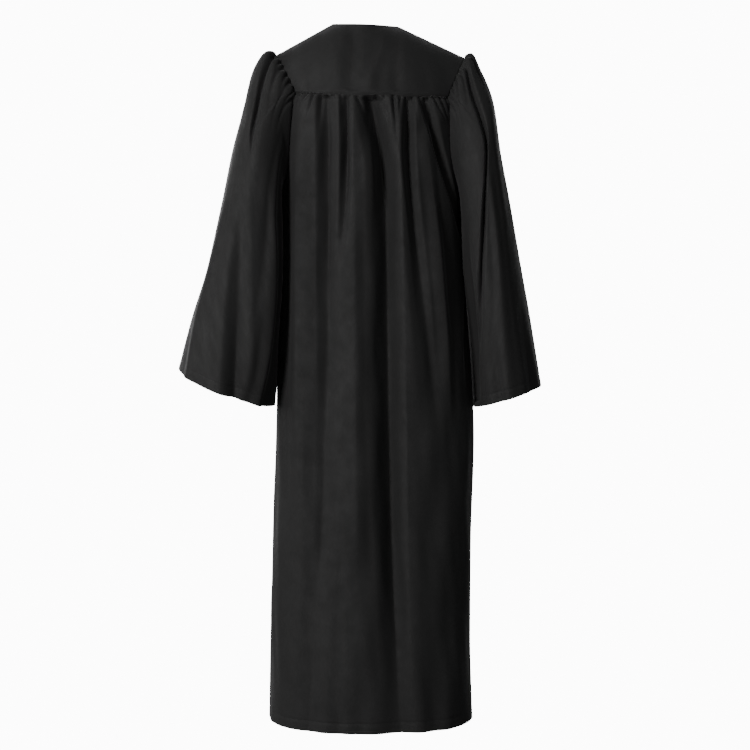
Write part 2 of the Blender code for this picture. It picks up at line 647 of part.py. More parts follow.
def sleeve_relief(folds, rings, step, angle):
    """Inward shift of the sleeve cloth from all the folds that cross this point."""
    turned = (angle + 180.0) % 360.0 - 180.0
    calm = 1.0 - smooth_step((abs(turned) - SLEEVE_CALM[0]) / (SLEEVE_CALM[1] - SLEEVE_CALM[0]))
    wide = math.hypot(rings.read("out_x", step) - rings.read("in_x", step),
                      rings.read("out_z", step) - rings.read("in_z", step)) / 2.0
    total = 0.0
    for fold in folds:
        state = fold_state(fold, step)
        if state is None:
            continue
        s = math.sin(math.radians(state[0]))
        c = math.cos(math.radians(state[0]))
        spread = math.hypot(wide * s, rings.read("back", step) * c)
        total += state[1] * bell(math.radians(state[0] - turned) * spread, fold[6], fold[7])
    return total * calm * smooth_step(step / SLEEVE_CLEAR_RUN)


def grid_normals(points, closed, outward):
    """Unit normals of a grid of points."""
    if closed:
        across = np.roll(points, -1, axis=1) - np.roll(points, 1, axis=1)
    else:
        across = np.gradient(points, axis=1)
    down = np.gradient(points, axis=0)
    normals = np.cross(across, down) * outward
    return normals / np.linalg.norm(normals, axis=2, keepdims=True)


class Piece:
    """A cut piece of cloth, held as a grid of points on its middle surface."""

    def __init__(self, name, points, outward, closed=False, wall=WALL):
        self.name = name
        self.points = points
        self.closed = closed
        self.wall = wall
        self.normals = grid_normals(points, closed, outward)
        self.moves = np.zeros_like(points)
        self.midway = []

    def level_midway(self, values):
        """Keep a seam straight at the points that lie midway between two seam points."""
        for column in self.midway:
            beside = (column + 1) % self.points.shape[1]
            values[0, column] = 0.5 * (values[0, column - 1] + values[0, beside])

    def inset(self, nodes, inward):
        """Draw an edge back from its seam. nodes are grid places, inward the next row in."""
        last = len(nodes) - 1
        loop = self.closed
        for k, node in enumerate(nodes):
            before = nodes[(k - 1) % len(nodes)] if loop else nodes[max(k - 1, 0)]
            after = nodes[(k + 1) % len(nodes)] if loop else nodes[min(k + 1, last)]
            along = self.points[after] - self.points[before]
            away = np.cross(self.normals[node], along)
            away = away / np.linalg.norm(away)
            toward = self.points[node[0] + inward[0], node[1] + inward[1]] - self.points[node]
            self.moves[node] += math.copysign(SEAM_GAP / 2.0, np.dot(away, toward)) * away


def share_normals(pieces):
    """Give pieces that meet at a seam one normal there, so that their edges are parallel."""
    meetings = {}
    for piece in pieces:
        rows, columns = piece.points.shape[:2]
        for row in range(rows):
            for column in range(columns):
                edge = row in (0, rows - 1) or (not piece.closed and column in (0, columns - 1))
                if edge:
                    key = tuple(np.round(piece.points[row, column] * 1e5).astype(int))
                    meetings.setdefault(key, []).append((piece, row, column))
    for group in meetings.values():
        if len({entry[0].name for entry in group}) < 2:
            continue
        normals = [piece.normals[row, column] for piece, row, column in group]
        sleeves = [normal for (piece, _, _), normal in zip(group, normals) if piece.closed]
        others = [normal for (piece, _, _), normal in zip(group, normals) if not piece.closed]
        mean = sum(others) / len(others)
        if sleeves:
            mean = mean + sleeves[0]
        mean = mean / np.linalg.norm(mean)
        lean = max(sum(np.dot(mean, normal) for normal in normals) / len(normals), 0.1)
        for piece, row, column in group:
            piece.normals[row, column] = mean * min(1.0 / lean, MITRE_LIMIT)


def material(name, colour, roughness, metallic=0.0):
    made = bpy.data.materials.new(name)
    made.use_nodes = True
    shader = made.node_tree.nodes["Principled BSDF"]
    shader.inputs["Base Color"].default_value = (*colour, 1.0)
    shader.inputs["Roughness"].default_value = roughness
    shader.inputs["Metallic"].default_value = metallic
    return made


def add_object(name, mesh, look):
    mesh.materials.append(look)
    made = bpy.data.objects.new(name, mesh)
    bpy.context.scene.collection.objects.link(made)
    return made


def wall_mesh(piece, raised=None):
    """Closed wall round a piece's middle surface. raised lifts outer points, by column."""
    rows, columns = piece.points.shape[:2]
    half = piece.normals * piece.wall / 2.0
    outer = piece.points + piece.moves + half
    inner = piece.points + piece.moves - half
    if raised is not None:
        outer = outer + piece.normals * np.array(raised)[None, :, None]
    body = bmesh.new()
    sheets = []
    for sheet in (outer, inner):
        sheets.append([[body.verts.new(sheet[row, column]) for column in range(columns)]
                       for row in range(rows)])
    wraps = columns if piece.closed else columns - 1
    for row in range(rows - 1):
        for column in range(wraps):
            beside = (column + 1) % columns
            places = ((row, column), (row, beside), (row + 1, beside), (row + 1, column))
            one = np.linalg.norm(piece.points[places[0]] - piece.points[places[2]])
            two = np.linalg.norm(piece.points[places[1]] - piece.points[places[3]])
            turns = ((0, 1, 2), (0, 2, 3)) if one <= two else ((0, 1, 3), (1, 2, 3))
            for turn in turns:
                for sheet in sheets:
                    body.faces.new([sheet[places[k][0]][places[k][1]] for k in turn])
    rims = [[(0, c) for c in range(wraps + 1)], [(rows - 1, c) for c in range(wraps + 1)]]
    if not piece.closed:
        rims += [[(r, 0) for r in range(rows)], [(r, columns - 1) for r in range(rows)]]
    for rim in rims:
        for first, second in zip(rim, rim[1:]):
            a = (first[0], first[1] % columns)
            b = (second[0], second[1] % columns)
            if tuple(np.round(piece.points[a], 5)) > tuple(np.round(piece.points[b], 5)):
                a, b = b, a
            out_a, out_b = sheets[0][a[0]][a[1]], sheets[0][b[0]][b[1]]
            in_a, in_b = sheets[1][a[0]][a[1]], sheets[1][b[0]][b[1]]
            body.faces.new((out_a, out_b, in_b))
            body.faces.new((out_a, in_b, in_a))
    bmesh.ops.recalc_face_normals(body, faces=body.faces)
    mesh = bpy.data.meshes.new(piece.name)
    body.to_mesh(mesh)
    body.free()
    mesh.shade_smooth()
    mesh.set_sharp_from_angle(angle=math.radians(60.0))
    return mesh


def edge_nodes(piece, side, start=0, stop=None):
    """Grid places along one edge and the step that leads inward from it."""
    rows, columns = piece.points.shape[:2]
    if side == "top":
        return [(0, c) for c in range(start, stop if stop is not None else columns)], (1, 0)
    if side == "bottom":
        stop = stop if stop is not None else columns
        return [(rows - 1, c) for c in range(start, stop)], (-1, 0)
    if side == "first":
        return [(r, 0) for r in range(start, stop if stop is not None else rows)], (0, 1)
    return [(r, columns - 1) for r in range(start, stop if stop is not None else rows)], (0, -1)


def make_cloth(cloth_look):
    """Cut and sew the yokes, the body panels and the sleeves."""
    back_columns = 2 * SHOULDER_COLUMNS + NECK_COLUMNS
    back_yoke = Piece("back_yoke", back_yoke_points(), -1)
    back_points = panel_points(back_edges, back_columns, yoke_seam_height, BACK_DROP)
    back = Piece("back_panel", back_points, -1)
    pieces = [back_yoke, back]
    for side, word in ((1, "left"), (-1, "right")):
        yoke = Piece("front_yoke_" + word, front_yoke_points(side), side)
        points = panel_points(front_edges(side), SHOULDER_COLUMNS, front_seam_height, FRONT_DROP)
        front = Piece("front_panel_" + word, points, side)
        column = 0 if side > 0 else back_columns
        loop = armhole_loop(back_yoke.points[:, column], back.points[:, column],
                            front.points[:, 0], yoke.points[:, 0])
        fine, underarm, midway = finer_loop(loop)
        sleeve = Piece("sleeve_" + word, sleeve_points(side, fine, underarm), -side, closed=True)
        sleeve.midway = midway
        pieces += [yoke, front, sleeve]
    share_normals(pieces)
    for piece in pieces:
        piece.level_midway(piece.normals)
    by_name = {piece.name: piece for piece in pieces}
    back_yoke.inset(*edge_nodes(back_yoke, "top", 0, SHOULDER_COLUMNS + 1))
    back_yoke.inset(*edge_nodes(back_yoke, "top", SHOULDER_COLUMNS + NECK_COLUMNS))
    back_yoke.inset(*edge_nodes(back_yoke, "bottom"))
    back_yoke.inset(*edge_nodes(back_yoke, "first"))
    back_yoke.inset(*edge_nodes(back_yoke, "last"))
    back.inset(*edge_nodes(back, "top"))
    for side in ("first", "last"):
        back.inset(*edge_nodes(back, side, 0, ARMHOLE_ROWS + 1))
        back.inset(*edge_nodes(back, side, ARMHOLE_ROWS))
    for word in ("left", "right"):
        yoke = by_name["front_yoke_" + word]
        front = by_name["front_panel_" + word]
        sleeve = by_name["sleeve_" + word]
        for side in ("top", "bottom", "first"):
            yoke.inset(*edge_nodes(yoke, side))
        front.inset(*edge_nodes(front, "top"))
        front.inset(*edge_nodes(front, "first", 0, ARMHOLE_ROWS + 1))
        front.inset(*edge_nodes(front, "first", ARMHOLE_ROWS))
        front.inset(*edge_nodes(front, "last"))
        sleeve.inset(*edge_nodes(sleeve, "top"))
        sleeve.level_midway(sleeve.moves)
    for piece in pieces:
        add_object(piece.name, wall_mesh(piece), cloth_look)
    return by_name


def front_middle(height):
    """Middle of the front at this height, on the cloth's middle surface."""
    return np.array((0.0, -BODY.read("front", height), height))


def make_tape(tape_look, yoke, front):
    """Zip tape with its chain, behind the slot between the fronts and in step with their rows."""
    foot = CHAIN_HALF + CHAIN_FLANK
    places = (-TAPE_HALF, -foot, -CHAIN_HALF, CHAIN_HALF, foot, TAPE_HALF)
    rises = (0.0, 0.0, CHAIN_RISE, CHAIN_RISE, 0.0, 0.0)
    beside = list(yoke.points[:, -1, 2]) + list(front.points[1:, -1, 2])
    top = V_BOTTOM_Z - TAPE_BELOW_V
    bottom = ZIP_END_Z - TAPE_PAST_ZIP
    heights = [top] + [height for height in beside if top - TAPE_STEP > height > bottom] + [bottom]
    grid = []
    for height in heights:
        line = []
        for x in places:
            angle = body_angle(x, height, True)
            point = body_point(angle, height)
            point[1] += TAPE_SET_BACK
            line.append(point)
        grid.append(line)
    tape = Piece("zip_tape", np.array(grid), -1, wall=TAPE_WALL)
    add_object("zip_tape", wall_mesh(tape, rises), tape_look)


def box_mesh(name, low, high):
    body = bmesh.new()
    bmesh.ops.create_cube(body, size=1.0)
    for vert in body.verts:
        vert.co = [low[k] + (vert.co[k] + 0.5) * (high[k] - low[k]) for k in range(3)]
    mesh = bpy.data.meshes.new(name)
    body.to_mesh(mesh)
    body.free()
    return mesh


def rod_mesh(name, radius, length, sides):
    """Rod along X, centred on its own origin."""
    body = bmesh.new()
    bmesh.ops.create_cone(
        body, cap_ends=True, segments=sides, radius1=radius, radius2=radius, depth=length)
    for vert in body.verts:
        vert.co = (vert.co[2], vert.co[1], vert.co[0])
    bmesh.ops.recalc_face_normals(body, faces=body.faces)
    mesh = bpy.data.meshes.new(name)
    body.to_mesh(mesh)
    body.free()
    return mesh


def hidden_tool(name, mesh, frame):
    """A body that only adds to or cuts another one."""
    made = bpy.data.objects.new(name, mesh)
    bpy.context.scene.collection.objects.link(made)
    made.parent = frame
    made.hide_render = True
    made.display_type = "WIRE"
    return made


def combine(target, tool, operation):
    step = target.modifiers.new(tool.name, "BOOLEAN")
    step.operation = operation
    step.solver = "EXACT"
    step.object = tool


def make_slider(metal_look):
    """Slider on the chain, and the pull tab that swings on its pin.

    Both are built in a frame that lies along the front: X across, Y up the front and
    Z straight out of it, with the pin's axis as the origin.
    """
    slope = front_middle(FRONT_SEAM_Z) - front_middle(V_BOTTOM_Z)
    lean = math.atan2(-slope[1], -slope[2])
    frame = bpy.data.objects.new("zip_frame", None)
    bpy.context.scene.collection.objects.link(frame)
    rise = SLIDER_STAND + SLIDER_PLATE + PIN_STAND
    foot = front_middle(SLIDER_Z)
    out = np.array((0.0, -math.cos(lean), math.sin(lean)))
    up = np.array((0.0, math.sin(lean), math.cos(lean)))
    frame.location = foot + out * rise + up * PIN_UP
    frame.rotation_euler = (0.5 * math.pi - lean, 0.0, 0.0)
    low = -PIN_UP - SLIDER_LENGTH / 2.0
    high = -PIN_UP + SLIDER_LENGTH / 2.0
    plate_top = -PIN_STAND
    plate_back = plate_top - SLIDER_PLATE
    half = SLIDER_WIDTH / 2.0
    plate = box_mesh("zip_slider", (-half, low, plate_back), (half, high, plate_top))
    slider = add_object("zip_slider", plate, metal_look)
    slider.parent = frame
    core_low = (-CHAIN_HALF, low + CORE_INSET, plate_back - CORE_DEPTH)
    core_high = (CHAIN_HALF, high - CORE_INSET, plate_top - SUNK)
    core = box_mesh("slider_core", core_low, core_high)
    combine(slider, hidden_tool("slider_core", core, frame), "UNION")
    for side, word in ((-1, "right"), (1, "left")):
        ends = sorted((side * LUG_GAP / 2.0, side * (LUG_GAP / 2.0 + LUG_THICK)))
        lug_low = (ends[0], -LUG_LENGTH / 2.0, plate_top - SUNK)
        lug_high = (ends[1], LUG_LENGTH / 2.0, LUG_PAST_PIN)
        lug = box_mesh("slider_lug_" + word, lug_low, lug_high)
        combine(slider, hidden_tool("slider_lug_" + word, lug, frame), "UNION")
    pin = rod_mesh("slider_pin", PIN_RADIUS, LUG_GAP + LUG_THICK, 12)
    combine(slider, hidden_tool("slider_pin", pin, frame), "UNION")

    eye = rod_mesh("zip_pull", EYE_RADIUS, EYE_WIDTH, 20)
    pull = add_object("zip_pull", eye, metal_look)
    pull.parent = frame
    neck_low = (-EYE_WIDTH / 2.0, -BLADE_START - SUNK, -TAB_THICK / 2.0)
    neck_high = (EYE_WIDTH / 2.0, -EYE_HOLE - SUNK, TAB_THICK / 2.0)
    neck = box_mesh("pull_neck", neck_low, neck_high)
    combine(pull, hidden_tool("pull_neck", neck, frame), "UNION")
    combine(pull, hidden_tool("pull_blade", blade_mesh(TAB_WIDTH / 2.0), frame), "UNION")
    hole = rod_mesh("pull_hole", EYE_HOLE, 2.0 * EYE_WIDTH, 16)
    combine(pull, hidden_tool("pull_hole", hole, frame), "DIFFERENCE")


def blade_mesh(tab_half):
    """Blade of the pull tab: a rounded rectangle, thick along its own Z."""
    top = -BLADE_START
    bottom = -TAB_LENGTH
    corners = ((tab_half, bottom, -90.0), (tab_half, top, 0.0),
               (-tab_half, top, 90.0), (-tab_half, bottom, 180.0))
    outline = []
    for x, y, start in corners:
        round_in = TAB_END_ROUND if y == bottom else TAB_END_ROUND / 2.0
        centre_x = x - math.copysign(round_in, x)
        centre_y = y + round_in if y == bottom else y - round_in
        for step in range(5):
            angle = math.radians(start + 22.5 * step)
            across = centre_x + round_in * math.cos(angle)
            outline.append((across, centre_y + round_in * math.sin(angle)))
    body = bmesh.new()
    floor = body.faces.new([body.verts.new((x, y, -TAB_THICK / 2.0)) for x, y in outline])
    grown = bmesh.ops.extrude_face_region(body, geom=[floor])
    lifted = [item for item in grown["geom"] if isinstance(item, bmesh.types.BMVert)]
    bmesh.ops.translate(body, verts=lifted, vec=(0.0, 0.0, TAB_THICK))
    bmesh.ops.recalc_face_normals(body, faces=body.faces)
    mesh = bpy.data.meshes.new("pull_blade")
    body.to_mesh(mesh)
    body.free()
    return mesh


def main():
    for old in list(bpy.data.objects):
        bpy.data.objects.remove(old)
    cloth_look = material("black_gown_cloth", (0.018, 0.018, 0.019), 0.82)
    tape_look = material("black_zip_tape", (0.012, 0.012, 0.013), 0.7)
    metal_look = material("black_zip_metal", (0.03, 0.03, 0.032), 0.38, 0.9)
    pieces = make_cloth(cloth_look)
    make_tape(tape_look, pieces["front_yoke_left"], pieces["front_panel_left"])
    make_slider(metal_look)


main()
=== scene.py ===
"""Looks of the graduation gown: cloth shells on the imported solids, sewing, zip and light."""
import math

import bmesh
import bpy
import numpy as np
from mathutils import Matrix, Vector


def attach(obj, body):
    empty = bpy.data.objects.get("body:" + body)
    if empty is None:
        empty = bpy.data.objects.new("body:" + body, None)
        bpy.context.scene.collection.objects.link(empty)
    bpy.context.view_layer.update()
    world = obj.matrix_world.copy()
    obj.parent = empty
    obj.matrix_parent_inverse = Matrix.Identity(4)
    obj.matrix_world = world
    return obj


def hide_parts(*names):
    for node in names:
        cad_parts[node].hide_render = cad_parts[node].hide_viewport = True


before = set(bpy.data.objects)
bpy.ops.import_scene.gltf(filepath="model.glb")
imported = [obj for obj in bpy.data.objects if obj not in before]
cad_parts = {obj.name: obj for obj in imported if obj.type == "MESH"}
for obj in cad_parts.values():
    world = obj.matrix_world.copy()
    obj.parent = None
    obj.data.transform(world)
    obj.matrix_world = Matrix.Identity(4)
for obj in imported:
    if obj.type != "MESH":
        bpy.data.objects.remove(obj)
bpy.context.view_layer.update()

# Camera at the photograph's angle: level, behind the gown
CAMERA_PLACE = (-0.0102, 3.0, -0.5883)
CAMERA_LENS = 77.84

# The wearer's sides: the sign of X there, and the word in the names of the pieces
LEFT, RIGHT = 1, -1
SIDES = (("left", LEFT), ("right", RIGHT))

# Form of the gown, as in the part's source
UNDERARM_Z = -0.270
HEM_SIDE_Z = -1.213
HEM_BOW = 0.011
YOKE_SEAM_LEFT_Z = -0.078
YOKE_SEAM_RIGHT_Z = -0.086
YOKE_SEAM_SAG = 0.004
SEAM_WOBBLE = 0.0016
SEAM_WAVES = (41.0, 17.0)
SEAM_PHASE = 0.8
FRONT_SEAM_Z = -0.090
V_BOTTOM_Z = -0.045
ZIP_END_Z = -0.600
ZIP_FADE = 0.050
NECK = {LEFT: (0.0675, 0.000, 0.0610), RIGHT: (-0.0530, 0.000, 0.0560)}
NECK_BACK_Y = 0.045
NECK_BACK_Z = 0.0510
NECK_BOW = 1.2               # power of the neck's curve at the back
SHOULDER = {LEFT: (0.1720, 0.000, 0.0030), RIGHT: (-0.1765, 0.000, -0.0025)}
YOKE_SPAN = 52.0             # steps along the top of the back yoke
NECK_START = 17.0            # steps to the neck, and as many behind it
NECK_STOP = 35.0
SLOT_HALF = 0.003
BODY_ROUNDNESS = 2.25
NECK_FULLNESS = 0.55
NECK_FRONT_ROUND = 0.85
NECK_FLATTENING = 0.4        # how much less round the front yoke is at the neck
V_SHARE = 0.72
BACK_DROP = 0.015
FRONT_DROP = 0.010
ARMHOLE_CROWDING = 1.5
SLEEVE_CROWDING = 1.5
SLEEVE_CLEAR = 0.0060
SLEEVE_CLEAR_RUN = 0.03
SLEEVE_HEAD_RUN = 0.22
SIDE_CALM = 0.45
BACK_YOKE_EASING = 420
FRONT_YOKE_EASING = 100

TENTHS = 10000.0             # tenths of a millimetre in a metre


def scaled(units, rows):
    """A table whose columns are written as whole numbers of these small units."""
    return tuple(tuple(value / unit for value, unit in zip(row, units)) for row in rows)


BODY_COLUMNS = ("height", "left", "right", "back", "front")
BODY_SECTIONS = scaled((TENTHS,) * 5, (
    (-450, 1670, 1670, 920, 780), (-870, 1670, 1670, 1000, 850), (-1500, 1670, 1670, 1080, 940),
    (-2700, 1675, 1700, 1120, 1040), (-4200, 1690, 1760, 1140, 1100), (-6000, 1705, 1890, 1190, 1140),
    (-7000, 1725, 1925, 1220, 1160), (-9000, 1785, 1870, 1270, 1190), (-10600, 1820, 1855, 1310, 1220),
    (-12250, 1850, 1900, 1340, 1250),
))
ARMHOLE_COLUMNS = ("step", "angle", "height")
ARMHOLE_UNITS = (1, 1, TENTHS)
ARMHOLE_BACK = {
    LEFT: scaled(ARMHOLE_UNITS, (
        (0.0, 38.5, -780), (0.2, 34.5, -1180), (0.4, 31.0, -1600), (0.6, 28.0, -2030),
        (0.8, 18.0, -2460), (1.0, 0.0, -2700),
    )),
    RIGHT: scaled(ARMHOLE_UNITS, (
        (0.0, 33.0, -860), (0.2, 31.5, -1250), (0.4, 29.5, -1640), (0.6, 26.5, -2040),
        (0.8, 17.0, -2460), (1.0, 0.0, -2700),
    )),
}
ARMHOLE_FRONT = scaled(ARMHOLE_UNITS, (
    (0.0, 44.0, -900), (0.2, 40.0, -1240), (0.4, 36.0, -1620), (0.6, 30.0, -2030), (0.8, 18.0, -2460),
    (1.0, 0.0, -2700),
))
RING_COLUMNS = ("step", "out_x", "out_z", "in_x", "in_z", "mid_y", "back", "front", "sag")
RING_UNITS = (1,) + (TENTHS,) * 8
RINGS = {
    LEFT: scaled(RING_UNITS, (
        (0.0, 1720, 30, 1680, -2700, 0, 800, 800, 0), (0.04, 1870, 70, 1720, -2840, 40, 860, 840, 0),
        (0.1, 2120, -260, 1620, -3050, 120, 900, 880, 0),
        (0.2, 2285, -900, 1540, -3450, 200, 910, 920, 0),
        (0.35, 2495, -1720, 1530, -4000, 260, 900, 950, 0),
        (0.5, 2715, -2830, 1565, -4550, 280, 910, 980, 0),
        (0.66, 2970, -3940, 1630, -5200, 250, 950, 1010, 50),
        (0.83, 3250, -4800, 1650, -5850, 220, 1000, 1040, 120),
        (1.0, 3495, -5735, 1700, -6400, 160, 1040, 1070, 190),
    )),
    RIGHT: scaled(RING_UNITS, (
        (0.0, 1765, -25, 1700, -2700, 0, 800, 800, 0), (0.04, 1870, 30, 1740, -2840, 40, 860, 840, 0),
        (0.1, 2045, -280, 1690, -3050, 100, 920, 880, 0),
        (0.2, 2275, -900, 1670, -3450, 160, 960, 930, 0),
        (0.35, 2415, -1800, 1690, -4000, 200, 990, 980, 0),
        (0.5, 2595, -2830, 1730, -4550, 200, 1030, 1040, 0),
        (0.66, 2775, -3940, 1790, -5200, 160, 1080, 1100, 20),
        (0.83, 2945, -4850, 1850, -5850, 100, 1130, 1160, 30),
        (1.0, 3165, -6050, 1900, -6460, 40, 1180, 1200, 50),
    )),
}

# Folds of the body: start and end height, x at four knots of the run, width of the
# trough to the wearer's left and right, depth at the knots. A minus depth is a ridge.
KNOTS = (0.0, 0.12, 0.55, 1.0)
BACK_FOLDS = scaled((TENTHS,) * 12, (
    (-860, -10000, 780, 775, 770, 840, 230, 260, 120, 200, 70, 0),
    (-3400, -12250, 780, 790, 880, 1120, 420, 380, 0, 40, 100, 60),
    (-840, -4200, 410, 405, 420, 600, 150, 110, 100, 170, 120, 0),
    (-880, -3000, -40, -80, -210, -280, 150, 100, 80, 120, 110, 0),
    (-880, -12250, -30, -300, -385, -560, 300, 260, 120, 320, 320, 20),
    (-6400, -12250, -400, -410, -480, -580, 520, 440, 0, 20, 80, 120),
    (-880, -1800, -140, -220, -400, -480, 80, 80, 40, 50, 30, 0),
    (-900, -7600, -710, -720, -990, -1320, 180, 140, 110, 190, 60, 0),
    (-900, -6400, -1005, -1200, -1760, -1780, 180, 140, 100, 180, 140, 0),
    (-2000, -11000, 270, 260, 240, 200, 300, 200, 0, -50, -70, 0),
    (-1800, -6400, -530, -540, -680, -880, 200, 180, 0, -30, -40, 0),
    (-1500, -7000, -1000, -1080, -1310, -1480, 200, 180, 0, -60, -90, 0),
    (-1300, -8600, 1260, 1270, 1280, 1290, 300, 360, 0, -100, -100, 0),
    (-7600, -12250, -1020, -1040, -1100, -1180, 360, 340, 0, 10, 30, 40),
    (-9000, -12250, 640, 630, 600, 560, 220, 200, 0, 6, 16, 30),
))
FRONT_FOLDS = scaled((TENTHS,) * 12, (
    (-920, -7600, 1040, 1080, 1220, 1340, 180, 200, 60, 100, 80, 0),
    (-920, -12250, 650, 680, 780, 920, 240, 260, 70, 140, 170, 160),
    (-920, -12250, 360, 370, 400, 440, 140, 120, 50, 70, 70, 60),
    (-920, -12250, -380, -390, -420, -480, 120, 150, 50, 70, 80, 80),
    (-920, -12250, -700, -730, -860, -980, 260, 220, 70, 150, 160, 140),
    (-920, -8200, -1080, -1130, -1280, -1420, 190, 180, 60, 100, 80, 0),
    (-6200, -12250, 1350, 1360, 1400, 1460, 260, 240, 0, 20, 50, 70),
    (-7000, -12250, -1360, -1380, -1420, -1460, 240, 220, 0, 20, 50, 60),
))
# Short sharp folds under the yoke seams: x at the seam and at the end, run, depth and
# half width
BACK_PUCKERS = scaled((TENTHS,) * 5, (
    (1230, 1330, 240, 34, 50), (1110, 1290, 300, 42, 60), (990, 1130, 500, 50, 60),
    (870, 940, 900, 58, 70), (740, 700, 260, 32, 50), (640, 530, 220, 32, 42), (510, 500, 300, 36, 50),
    (330, 310, 340, 38, 50), (230, -40, 700, 56, 60), (40, -80, 600, 50, 70),
    (-110, -350, 800, 60, 65), (-260, -370, 340, 42, 52), (-430, -520, 1150, 70, 66),
    (-560, -520, 500, 50, 56), (-660, -640, 280, 36, 44), (-780, -860, 500, 52, 56),
    (-890, -1100, 640, 62, 64), (-1040, -1240, 360, 42, 50), (-1150, -1400, 520, 50, 56),
    (-1270, -1470, 580, 50, 56), (-1370, -1440, 300, 36, 44),
))
FRONT_PUCKERS = scaled((TENTHS,) * 5, (
    (1120, 1240, 460, 42, 56), (990, 1040, 780, 54, 64), (880, 900, 340, 38, 50),
    (770, 820, 600, 50, 60), (650, 680, 1000, 62, 70), (530, 540, 400, 40, 54),
    (410, 400, 700, 50, 60), (300, 290, 300, 34, 48), (190, 180, 520, 42, 52),
    (-200, -190, 400, 38, 50), (-310, -320, 620, 48, 56), (-420, -430, 360, 40, 50),
    (-540, -580, 840, 56, 64), (-680, -710, 1020, 62, 70), (-800, -830, 400, 40, 54),
    (-910, -970, 640, 50, 60), (-1030, -1120, 880, 56, 64), (-1150, -1270, 420, 40, 54),
))
FOLD_RISE = 0.010
PUFF = 0.0035                # the gathered cloth stands out under its seam
PUFF_RISE = 0.009
PUFF_RUN = 0.085
PUCKER_RISE = 0.004
PUCKER_FADE = 1.3
BELL_ROUND = 0.72            # share of the rounded form in the section of a fold
BELL_POINT = 1.3             # power of the pointed rest
SEAM_GROOVE = 0.0013
SEAM_GROOVE_RUN = 0.0034
TUCK = 0.0040
HEM_DEPTH = 0.018
HEM_GROOVE = 0.0006
HEM_GROOVE_RUN = 0.0022
HEM_LAYERS = 0.0022          # thickness of the doubled hem
HEM_STEP = 0.003
# Folds of the sleeves: start and end along the sleeve, angle in degrees at the knots
# (0 the outer line, 90 the back, 180 the inner line, -90 the front), widths and depths
SLEEVE_FOLD_UNITS = (1,) * 6 + (TENTHS,) * 6
SLEEVE_FOLDS = {
    LEFT: scaled(SLEEVE_FOLD_UNITS, (
        (0.0, 0.26, 12, 21, 50, 68, 160, 120, 50, 130, 120, 0),
        (0.38, 1.0, 66, 71, 90, 104, 320, 400, 0, 50, 150, 190),
        (0.05, 1.0, 112, 124, 138, 131, 440, 160, -40, -110, -170, -60),
        (0.24, 1.0, 30, 29, 30, 42, 220, 260, 0, -20, -40, -40),
        (0.6, 1.0, 126, 125, 124, 122, 180, 180, 0, 20, 50, 80),
        (0.0, 0.3, -12, -20, -48, -66, 140, 120, 30, 70, 70, 0),
        (0.26, 1.0, -52, -54, -60, -64, 280, 280, 0, 50, 100, 130),
        (0.4, 1.0, -104, -104, -108, -110, 260, 240, 0, 40, 80, 100),
        (0.6, 1.0, -14, -14, -16, -16, 240, 240, 0, 20, 40, 60),
    )),
    RIGHT: scaled(SLEEVE_FOLD_UNITS, (
        (0.0, 0.78, 22, 45, 103, 142, 170, 180, 0, 100, 150, 40),
        (0.3, 1.0, 70, 72, 84, 96, 220, 240, 0, -30, -50, -40),
        (0.2, 0.98, 130, 134, 150, 158, 360, 600, 0, 100, 210, 80),
        (0.7, 1.0, 112, 112, 110, 108, 200, 200, 0, 20, 50, 80),
        (0.6, 1.0, 38, 38, 44, 50, 280, 300, 0, 10, 40, 70),
        (0.0, 0.32, -16, -24, -50, -64, 140, 120, 30, 70, 70, 0),
        (0.3, 1.0, -46, -48, -56, -60, 280, 260, 0, 50, 110, 140),
        (0.44, 1.0, -100, -102, -106, -108, 240, 260, 0, 40, 80, 90),
    )),
}
# Short sharp folds round the sleeve heads: angle at the armhole, turn along the run,
# run in thousandths of the sleeve, depth and half width
SLEEVE_PUCKER_UNITS = (1, 1, 1000.0, TENTHS, TENTHS)
SLEEVE_PUCKERS = {
    LEFT: scaled(SLEEVE_PUCKER_UNITS, (
        (-71, -20, 110, 44, 76), (-60, -24, 83, 43, 68), (-49, -28, 121, 53, 76),
        (-39, -26, 88, 53, 70), (-30, -22, 110, 62, 76), (-19, -12, 77, 49, 70), (-8, -4, 99, 49, 76),
        (3, 10, 99, 53, 76), (12, 16, 66, 45, 65), (21, 28, 121, 79, 81), (29, 28, 77, 53, 63),
        (37, 31, 121, 73, 74), (45, 33, 94, 55, 68), (53, 32, 116, 60, 76), (61, 30, 77, 44, 68),
        (70, 26, 99, 44, 76),
    )),
    RIGHT: scaled(SLEEVE_PUCKER_UNITS, (
        (-74, -20, 105, 44, 78), (-62, -24, 88, 43, 68), (-51, -27, 116, 53, 76),
        (-41, -25, 83, 44, 70), (-31, -22, 121, 62, 76), (-20, -12, 88, 49, 70), (-9, -4, 94, 52, 76),
        (4, 8, 110, 53, 76), (13, 17, 154, 71, 81), (21, 14, 77, 49, 65), (28, 18, 116, 73, 76),
        (36, 30, 110, 66, 70), (44, 34, 88, 56, 65), (52, 34, 77, 55, 65), (61, 30, 99, 47, 76),
        (71, 24, 77, 41, 76),
    )),
}
SLEEVE_CALM = (146.0, 168.0)
SLEEVE_FOLD_RISE = 0.02
HEAD_RISE = 0.012
HEAD_FADE = 1.2
HEAD_TURN = 1.5              # power of the gathers' turn along their run
HEAD_SOFTENING = 14
HEAD_PUFF = 0.0045
HEAD_PUFF_RUN = 0.10

# Counts of the fine grids
YOKE_ROWS = 72
ARMHOLE_ROWS = 60
SKIRT_ROWS = 100
HEM_ROWS = 16                # of them, rows in the doubled hem
HEM_SHARE = 0.970
BACK_COLUMNS = 290
FRONT_COLUMNS = 120
SLEEVE_ROWS = 112
CUFF_ROWS = 16
CUFF_SHARE = 0.955
FABRIC = 0.0009              # thickness of one layer of cloth

